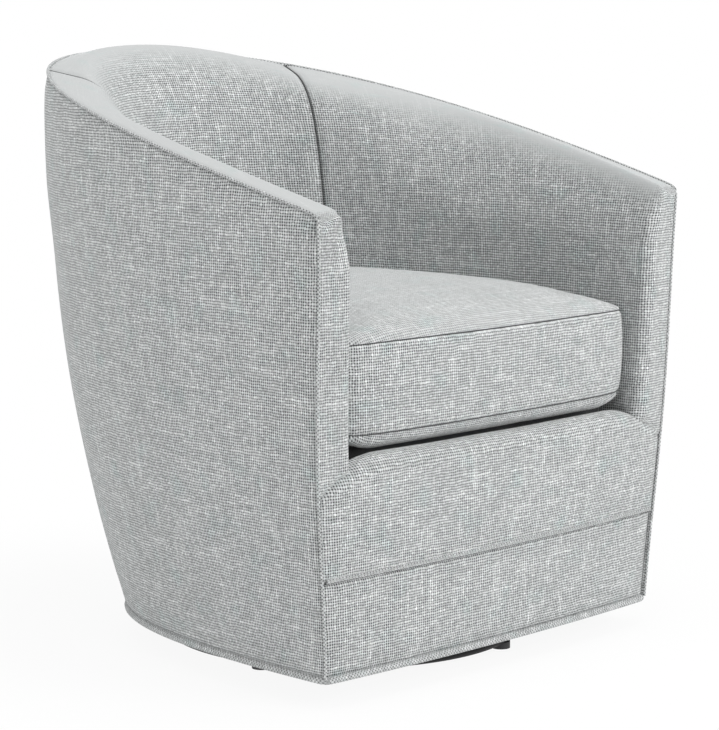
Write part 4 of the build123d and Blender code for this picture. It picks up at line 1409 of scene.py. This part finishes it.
class BoxedPad:
    """Closed pad with a top, a boxing and a bottom that meet at two seams."""

    def __init__(self, outlines, low, high, top_rise, bottom_rise, stops, levels, bulge=0.0):
        count = len(stops)
        top_plan = coons(four_sides(outlines(high), stops), stops)
        low_plan = coons(four_sides(outlines(low), stops), stops)
        crown = high + top_rise * mix(self.dome(stops), self.lip(stops), CROWN_LIP)
        belly = low - bottom_rise * self.lip(stops)
        top = np.concatenate([top_plan, crown[..., None]], axis=-1)
        bottom = np.concatenate([low_plan, belly[..., None]], axis=-1)
        border = self.border(count)
        rows = [mix(bottom.reshape(-1, 3)[border], top.reshape(-1, 3)[border], t) for t in levels]
        outward = unit((rows[0] - (*PAD_CENTRE, 0)) * (1, 1, 0))
        rows = [row + bulge * (1 - abs(2 * t - 1) ** 2.5) * outward for row, t in zip(rows, levels)]
        self.points = np.concatenate([bottom.reshape(-1, 3), top.reshape(-1, 3)] + rows[1:-1])
        size = count * count
        quads = grid_faces(np.arange(size).reshape(count, count))
        around = np.arange(len(border))
        rings = [border] + [2 * size + i * len(border) + around for i in range(len(levels) - 2)]
        rings.append(border + size)
        sides = [np.stack([a, np.roll(a, -1), np.roll(b, -1), b], axis=-1) for a, b in zip(rings, rings[1:])]
        self.rings = rings
        self.parts = [quads[:, ::-1], quads + size, np.concatenate(sides)]
        self.run = lengths(np.concatenate([rows[-1], rows[-1][:1]]))
        self.stops = stops

    @staticmethod
    def dome(stops):
        """Height of the crown as a share of its rise."""
        place = abs(2 * stops - 1)
        rise = (1 - place**3.4) ** 0.62
        return rise[:, None] * rise[None]

    @staticmethod
    def lip(stops, width=0.05):
        """Height of a rounded edge as a share of its rise."""
        place = np.clip(np.minimum(stops, 1 - stops) / width, 0, 1)
        rise = np.sqrt(1 - (1 - place) ** 2)
        wide = np.clip(np.minimum(stops, 1 - stops) / (2.4 * width), 0, 1)
        return np.sqrt(1 - (1 - wide) ** 2)[:, None] * rise[None]

    @staticmethod
    def border(count):
        """Indices round the edge of a square grid."""
        grid = np.arange(count * count).reshape(count, count)
        return np.concatenate([grid[0, :-1], grid[:-1, -1], grid[-1, :0:-1], grid[:0:-1, 0]])

    def mesh(self, name):
        """Blender mesh of the pad."""
        mesh = bpy.data.meshes.new(name)
        mesh.from_pydata(self.points.tolist(), [], np.concatenate(self.parts).tolist())
        face_out(mesh)
        return mesh

    def cloth_places(self):
        """Plan places of the points, with the top and the bottom unrolled at their rounded edges."""
        places = self.points[:, :2].copy()
        count = len(self.stops)
        for first in (0, count * count):
            grid = self.points[first: first + count * count].reshape(count, count, 3)
            for axis in (0, 1):
                extra = lengths(grid, axis) - lengths(grid * (1, 1, 0), axis)
                extra = extra - np.take(extra, [count // 2], axis)
                places[first: first + count * count, axis] += extra.ravel()
        return places

    def lay_weave(self, mesh):
        """Stores the weave of each panel on the corners of its faces."""
        flat = self.cloth_places()
        ring_of = np.full(len(self.points), -1)
        for ring in self.rings:
            ring_of[ring] = np.arange(len(ring))
        top_faces = len(self.parts[0]) + len(self.parts[1])
        place = np.where(ring_of >= 0, self.run[np.clip(ring_of, 0, None)], 0)
        threads = np.zeros((len(mesh.loops), 3), np.float32)
        around = len(self.rings[0])
        for polygon in mesh.polygons:
            for loop in polygon.loop_indices:
                vertex = mesh.loops[loop].vertex_index
                if polygon.index < top_faces:
                    threads[loop, :2] = flat[vertex] + PAD_WEAVE
                    threads[loop, 2] = CROWN_TIGHTNESS * (polygon.index >= len(self.parts[0]))
                else:
                    others = [ring_of[v] for v in polygon.vertices]
                    wraps = max(others) - min(others) > 2 and ring_of[vertex] < around / 2
                    threads[loop, 0] = place[vertex] + self.run[-1] * wraps
                    threads[loop, 1] = self.points[vertex, 2]
        mesh.attributes.new("weave", "FLOAT_VECTOR", "CORNER").data.foreach_set("vector", threads.ravel())


def stuff(piece, pressure, frames, caps, pinned):
    """Swells a closed piece with cloth pressure, and moves no point further than its cap."""
    group = piece.vertex_groups.new(name="seams")
    group.add([int(i) for i in pinned], 1.0, "REPLACE")
    start = np.array([v.co for v in piece.data.vertices])
    cloth = piece.modifiers.new("stuffing", "CLOTH")
    cloth.settings.use_pressure = True
    cloth.settings.uniform_pressure_force = pressure
    cloth.settings.effector_weights.gravity = 0
    cloth.settings.vertex_group_mass = group.name
    cloth.settings.mass = 0.35
    cloth.settings.tension_stiffness = 25
    cloth.settings.compression_stiffness = 25
    cloth.settings.bending_stiffness = 1.5
    cloth.point_cache.frame_start = 1
    cloth.point_cache.frame_end = frames
    scene = bpy.context.scene
    for step in range(1, frames + 1):
        scene.frame_set(step)
    done = piece.evaluated_get(bpy.context.evaluated_depsgraph_get())
    end = np.array([v.co for v in done.data.vertices])
    piece.modifiers.remove(cloth)
    piece.vertex_groups.clear()
    scene.frame_set(1)
    move = end - start
    length = np.linalg.norm(move, axis=1, keepdims=True) + 1e-9
    limit = np.asarray(caps)[:, None]
    return start + move * (limit * np.tanh(length / limit) / length)


def refined(piece):
    """Adds one subdivision to a piece and keeps the result as its plain mesh."""
    modifier = piece.modifiers.new("refine", "SUBSURF")
    modifier.levels = 1
    modifier.render_levels = 1
    mesh = plain_mesh(piece, piece.name)
    piece.modifiers.remove(modifier)
    piece.data = mesh
    return piece


class CHAIR_OT_seat_cushion(bpy.types.Operator):
    """Loose boxed seat cushion, crowned and stuffed"""

    bl_idname = "barrel_chair.seat_cushion"
    bl_label = "Seat Cushion"

    def execute(self, context):
        cushion = settings().cushion
        stops = edge_stops(44, CUSHION_EDGES)

        def outline(level):
            front = CUSHION_FRONT_IN - CUSHION_FRONT
            return pad_outline(level, CUSHION_GAP + CUSHION_SEAM_IN, front, CUSHION_BOW, CUSHION_EASE)

        pad = BoxedPad(
            outline, CUSHION_LOW_SEAM, CUSHION_TOP_SEAM, cushion.top_rise, cushion.bottom_rise, stops,
            CUSHION_LEVELS, CUSHION_BULGE,
        )
        mesh = pad.mesh("seat_cushion")
        pad.lay_weave(mesh)
        piece = new_object("seat_cushion", mesh, cover_cloth())
        seams = np.concatenate([pad.rings[0], pad.rings[-1]])
        size = len(stops) ** 2
        caps = np.full(len(pad.points), cushion.side_cap)
        caps[size: 2 * size] = cushion.top_cap
        caps[pad.points[:, 1] < -CUSHION_FRONT + CUSHION_FRONT_BAND] = 2 * cushion.side_cap
        points = pad.points
        points = stuff(piece, cushion.pressure, cushion.frames, caps, seams)
        points = self.draw_seams(points, pad)
        points[:, 2] = np.maximum(points[:, 2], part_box("cushion_bottom_panel")[0].z)
        piece.data.vertices.foreach_set("co", points.astype(np.float32).ravel())
        piece.data.update()
        refined(piece)
        self.stitch(piece, pad)
        nodes = ["core", "top_panel", "bottom_panel", "boxing", "zip"]
        dress(piece, "seat_cushion", ["cushion_" + node for node in nodes])
        return {"FINISHED"}

    @staticmethod
    def stitch(piece, pad):
        """Lays stitches in the two seams."""
        points = np.array([v.co for v in piece.data.vertices])
        seams = [points[ring] for ring in (pad.rings[0], pad.rings[-1])]
        dress(stitches("cushion_seam_stitches", seams, True), "seat_cushion", [])

    @staticmethod
    def draw_seams(points, pad):
        """Pulls the two seams in a little."""
        points = points.copy()
        for ring in (pad.rings[0], pad.rings[-1]):
            points[ring, :2] += CUSHION_SEAM_DRAW * unit(PAD_CENTRE - points[ring, :2])
        return points


class CHAIR_OT_seat_deck(bpy.types.Operator):
    """Lined deck that the cushion lies on"""

    bl_idname = "barrel_chair.seat_deck"
    bl_label = "Seat Deck"

    def execute(self, context):
        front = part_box("deck_pad")[0].y
        stops = edge_stops(24, DECK_EDGES)

        def outline(level):
            return pad_outline(level, DECK_GAP, front + FRONT_BOW, DECK_BOW, DECK_EASE)

        pad = BoxedPad(
            outline, DECK_LOW, DECK_HEIGHT - DECK_CROWN, DECK_CROWN, 0.0, stops, np.linspace(0, 1, 5)
        )
        mesh = pad.mesh("seat_deck")
        pad.lay_weave(mesh)
        piece = new_object("seat_deck", mesh, lining_cloth())
        dress(piece, "chair", ["deck_cover", "deck_pad"])
        return {"FINISHED"}


# Underside


class CHAIR_OT_dust_cover(bpy.types.Operator):
    """Thin cloth stretched under the frame, open round the swivel"""

    bl_idname = "barrel_chair.dust_cover"
    bl_label = "Dust Cover"

    def execute(self, context):
        low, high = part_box("dust_cover")
        z = (low.z + high.z) / 2
        x, y = barrel(np.linspace(0, 1, 120), z, DUST_INSET)
        left = np.stack([x, y], axis=-1)
        front_x = np.linspace(1, -1, 80)[1:-1] * (half_width(z) - DUST_INSET)
        fore = np.stack([front_x, front_face(front_x, z) + DUST_INSET], axis=-1)
        loop = np.concatenate([left, left[-2::-1] * (-1, 1), fore])
        outer = even(np.concatenate([loop, np.full((len(loop), 1), z)], axis=-1), DUST_STEP, True)
        centre = np.array([0, SWIVEL_Y, z])
        inner = centre + unit(outer - centre) * DUST_HOLE
        rows = np.stack([mix(inner, outer, t) for t in np.linspace(0, 1, 14)], axis=1)
        hang = np.sin(np.linspace(0, 1, 14) * pi)
        rows[..., 2] -= hang * (DUST_HANG + abs(uneven(rows, "dust")))
        rows = np.concatenate([rows, rows[:1]])
        piece = panel("dust_cover_cloth", rows, rows[..., :2].copy(), DUST_COVER, dust_cloth(), UNDER_VIEW)
        self.close_ring(piece)
        start = rows[:-1, :-1]
        sides = np.cross(rows[:-1, 1:] - start, rows[1:, :-1] - start)
        dress(piece, "chair", ["dust_cover"])
        return {"FINISHED"}

    @staticmethod
    def close_ring(piece):
        """Joins the two ends of the ring of cloth."""
        form = bmesh.new()
        form.from_mesh(piece.data)
        bmesh.ops.remove_doubles(form, verts=form.verts[:], dist=1e-6)
        form.to_mesh(piece.data)
        form.free()


# Finishes of the frame and the base


def painted_steel(name, color):
    """Satin paint with a fine orange-peel."""
    finish = Finish(name, color, 0.55, specular_ior_level=0.15)
    place = finish.object_place()
    speck = finish.grain(place, 900.0, 2.0)
    finish.set({"Roughness": 0.48 + 0.16 * finish.grain(place, 60.0)})
    finish.relief(speck, 0.0001, 0.25)
    return finish.material


def plated_steel(name, color, roughness=0.32):
    """Bright metal with fine drawing lines."""
    finish = Finish(name, color, roughness, metallic=1.0)
    place = finish.object_place()
    streak = finish.node("Mapping", None, {0: place, "Scale": (700.0, 700.0, 60.0)})
    lines = finish.grain(streak, 1.0, 3.0)
    finish.set({"Roughness": roughness - 0.1 + 0.25 * lines})
    dull = finish.blend(finish.grain(place, 90.0), color, toned(color, 0.82))
    finish.set({"Base Color": dull})
    finish.relief(lines, 0.00005, 0.3)
    return finish.material


def moulded_plastic(name, color):
    """Black plastic with a fine moulded grain."""
    finish = Finish(name, color, 0.5)
    place = finish.object_place()
    finish.relief(finish.grain(place, 1400.0), 0.0001, 0.3)
    finish.set({"Roughness": 0.42 + 0.18 * finish.grain(place, 120.0)})
    return finish.material


def bare_wood(name, color):
    """Bare plywood with rings and pores."""
    finish = Finish(name, color, 0.65)
    place = finish.object_place()
    stretched = finish.node("Mapping", None, {0: place, "Scale": (3.0, 26.0, 26.0)})
    rings = finish.grain(stretched, 3.0, 5.0, 0.6)
    pores = finish.grain(finish.node("Mapping", None, {0: place, "Scale": (40.0, 900.0, 900.0)}), 1.0, 2.0)
    shade = finish.blend(finish.step(rings, 0.35, 0.7), color, toned(color, 0.62))
    shade = finish.blend(finish.step(pores, 0.6, 0.75) * 0.35, shade, toned(color, 0.45))
    finish.set({"Base Color": shade})
    finish.relief(rings + pores * 0.4, 0.0003, 0.35)
    return finish.material


def fibre_board(name, color):
    """Grey-brown board of pressed fibres."""
    finish = Finish(name, color, 0.85)
    place = finish.object_place()
    flecks = finish.grain(place, 420.0, 3.0, 0.7)
    shade = finish.blend(finish.step(flecks, 0.35, 0.7), color, toned(color, 0.7))
    finish.set({"Base Color": shade})
    finish.relief(flecks, 0.0002, 0.4)
    return finish.material


def strap_webbing(name, color):
    """Woven straps with ribs across them."""
    finish = Finish(name, color, 0.8)
    place = finish.object_place()
    ribs = finish.node("TexWave", {"bands_direction": "Z"}, {
        "Vector": place, "Scale": 160.0, "Distortion": 0.6,
    })
    shade = finish.blend(ribs, toned(color, 0.6), toned(color, 1.5))
    finish.set({"Base Color": shade})
    finish.relief(ribs, 0.0003, 0.5)
    return finish.material


def dust_cloth():
    """Thin black cloth of pressed fibres."""
    color = settings().finishes.dust[:]
    finish = Finish("dust_cloth", color, 0.9)
    place = finish.object_place()
    fibres = finish.grain(place, 700.0, 4.0, 0.75)
    dots = finish.node("TexVoronoi", None, {"Vector": place, "Scale": 420.0})
    shade = finish.blend(finish.step(fibres, 0.4, 0.7), color, toned(color, 1.9))
    finish.set({"Base Color": shade})
    finish.relief(dots + fibres, 0.0002, 0.5)
    return finish.material


class CHAIR_OT_frame_finishes(bpy.types.Operator):
    """Finishes of the frame, the springs and the swivel base"""

    bl_idname = "barrel_chair.frame_finishes"
    bl_label = "Frame Finishes"

    def execute(self, context):
        colors = settings().finishes
        finishes = {
            "black_steel": painted_steel("painted_black_steel", colors.steel[:]),
            "bright_steel": plated_steel("zinc_plate", colors.zinc[:]),
            "spring_wire": plated_steel("drawn_spring_wire", colors.wire[:], 0.42),
            "black_plastic": moulded_plastic("moulded_black_plastic", colors.plastic[:]),
            "frame_wood": bare_wood("bare_plywood", colors.wood[:]),
            "backing_board": fibre_board("pressed_fibre_board", colors.board[:]),
            "webbing": strap_webbing("back_webbing_weave", colors.webbing[:]),
        }
        for part in frame["record"]["subparts"]:
            node = frame["nodes"][part["node"]]
            finish = finishes.get(part["material_slot"])
            if finish and not node.hide_render:
                node.data.materials.clear()
                node.data.materials.append(finish)
        return {"FINISHED"}


# Stage


def area_lamp(name, place, aim, size, power):
    """Large soft lamp that points at a place."""
    data = bpy.data.lights.new(name, "AREA")
    data.shape = "DISK"
    data.size = size
    data.energy = power
    lamp = bpy.data.objects.new(name, data)
    lamp.location = place
    lamp.rotation_euler = (Vector(aim) - Vector(place)).to_track_quat("-Z", "Y").to_euler()
    bpy.context.scene.collection.objects.link(lamp)


def white_to_camera(tree):
    """Share of a ray that sees plain white: rays from the camera, in mirrors and through glass."""
    path = tree.nodes.new("ShaderNodeLightPath")
    joined = path.outputs["Is Camera Ray"]
    for other in ("Is Glossy Ray", "Is Transmission Ray"):
        most = tree.nodes.new("ShaderNodeMath")
        most.operation = "MAXIMUM"
        feed(tree, most, {0: joined, 1: path.outputs[other]})
        joined = most.outputs[0]
    return joined


def studio_world(strength):
    """Even light, seen as plain white."""
    world = bpy.data.worlds.new("studio")
    bpy.context.scene.world = world
    world.use_nodes = True
    tree = world.node_tree
    light = tree.nodes["Background"]
    feed(tree, light, {"Color": (1, 1, 1, 1), "Strength": strength})
    white = tree.nodes.new("ShaderNodeBackground")
    feed(tree, white, {"Color": (1, 1, 1, 1)})
    both = tree.nodes.new("ShaderNodeMixShader")
    feed(tree, both, {0: white_to_camera(tree), 1: light.outputs[0], 2: white.outputs[0]})
    feed(tree, tree.nodes["World Output"], {"Surface": both.outputs[0]})


def studio_floor(color):
    """Plain pale floor that keeps a soft shadow."""
    mesh = bpy.data.meshes.new("floor")
    form = bmesh.new()
    bmesh.ops.create_circle(form, cap_ends=True, segments=96, radius=9.0)
    form.to_mesh(mesh)
    form.free()
    finish = Finish("studio_floor", color, 0.9)
    tree = finish.tree
    glow = tree.nodes.new("ShaderNodeEmission")
    both = tree.nodes.new("ShaderNodeMixShader")
    far = finish.node("VectorMath", {"operation": "LENGTH"}, {0: finish.object_place()}, out=1)
    seen = Tone(finish, white_to_camera(tree)) * (0.92 + 0.08 * finish.step(far, 0.45, 0.9))
    feed(tree, both, {0: seen, 1: finish.shader.outputs[0], 2: glow.outputs[0]})
    feed(tree, tree.nodes["Material Output"], {"Surface": both.outputs[0]})
    floor = new_object("floor", mesh, finish.material)


def photo_camera(lens):
    """Camera at the photograph's viewing angle."""
    data = bpy.data.cameras.new("camera")
    data.lens = lens
    data.sensor_width = SENSOR_WIDTH
    data.shift_x, data.shift_y = CAMERA_SHIFT
    camera = bpy.data.objects.new("camera", data)
    camera.location = CAMERA_PLACE
    camera.rotation_euler = (radians(90 - CAMERA_DIP), 0, radians(CAMERA_TURN))
    bpy.context.scene.collection.objects.link(camera)
    bpy.context.scene.camera = camera


class CHAIR_OT_stage(bpy.types.Operator):
    """Floor, lamps and camera"""

    bl_idname = "barrel_chair.stage"
    bl_label = "Stage"

    def execute(self, context):
        stage = settings().stage
        context.scene.view_settings.view_transform = "Standard"
        studio_world(stage.sky)
        studio_floor(stage.floor[:])
        for name, (place, aim, size) in LAMPS.items():
            area_lamp(name + "_lamp", place, aim, size, getattr(stage, name))
        photo_camera(stage.lens)
        return {"FINISHED"}


# Add-on


STEPS = (
    CHAIR_OT_outside_panel, CHAIR_OT_inside_back, CHAIR_OT_inside_arms, CHAIR_OT_back_seams,
    CHAIR_OT_front_border, CHAIR_OT_kick_panel, CHAIR_OT_welts, CHAIR_OT_seat_cushion, CHAIR_OT_seat_deck,
    CHAIR_OT_dust_cover, CHAIR_OT_frame_finishes, CHAIR_OT_stage,
)


class CHAIR_PT_build(bpy.types.Panel):
    """Steps that build the chair"""

    bl_label = "Barrel Chair"
    bl_idname = "CHAIR_PT_build"
    bl_space_type = "VIEW_3D"
    bl_region_type = "UI"
    bl_category = "Chair"

    def draw(self, context):
        for step in STEPS:
            self.layout.operator(step.bl_idname)
        for part in ChairSettings.__annotations__:
            group = getattr(settings(), part)
            box = self.layout.box()
            for key in type(group).__annotations__:
                box.prop(group, key)


CLASSES = (
    ClothSettings, PanelSettings, WeltSettings, SeamSettings, CushionSettings, FinishSettings, StageSettings,
    ChairSettings,
) + STEPS + (CHAIR_PT_build,)


def register():
    """Registers the classes and the settings."""
    for cls in CLASSES:
        bpy.utils.register_class(cls)
    bpy.types.Scene.barrel_chair = PointerProperty(type=ChairSettings)


def unregister():
    """Removes the settings and the classes."""
    del bpy.types.Scene.barrel_chair
    for cls in reversed(CLASSES):
        bpy.utils.unregister_class(cls)


def main():
    """Builds the chair step by step."""
    register()
    for step in STEPS:
        group, name = step.bl_idname.split(".")
        getattr(getattr(bpy.ops, group), name)()


if __name__ == "__main__":
    main()
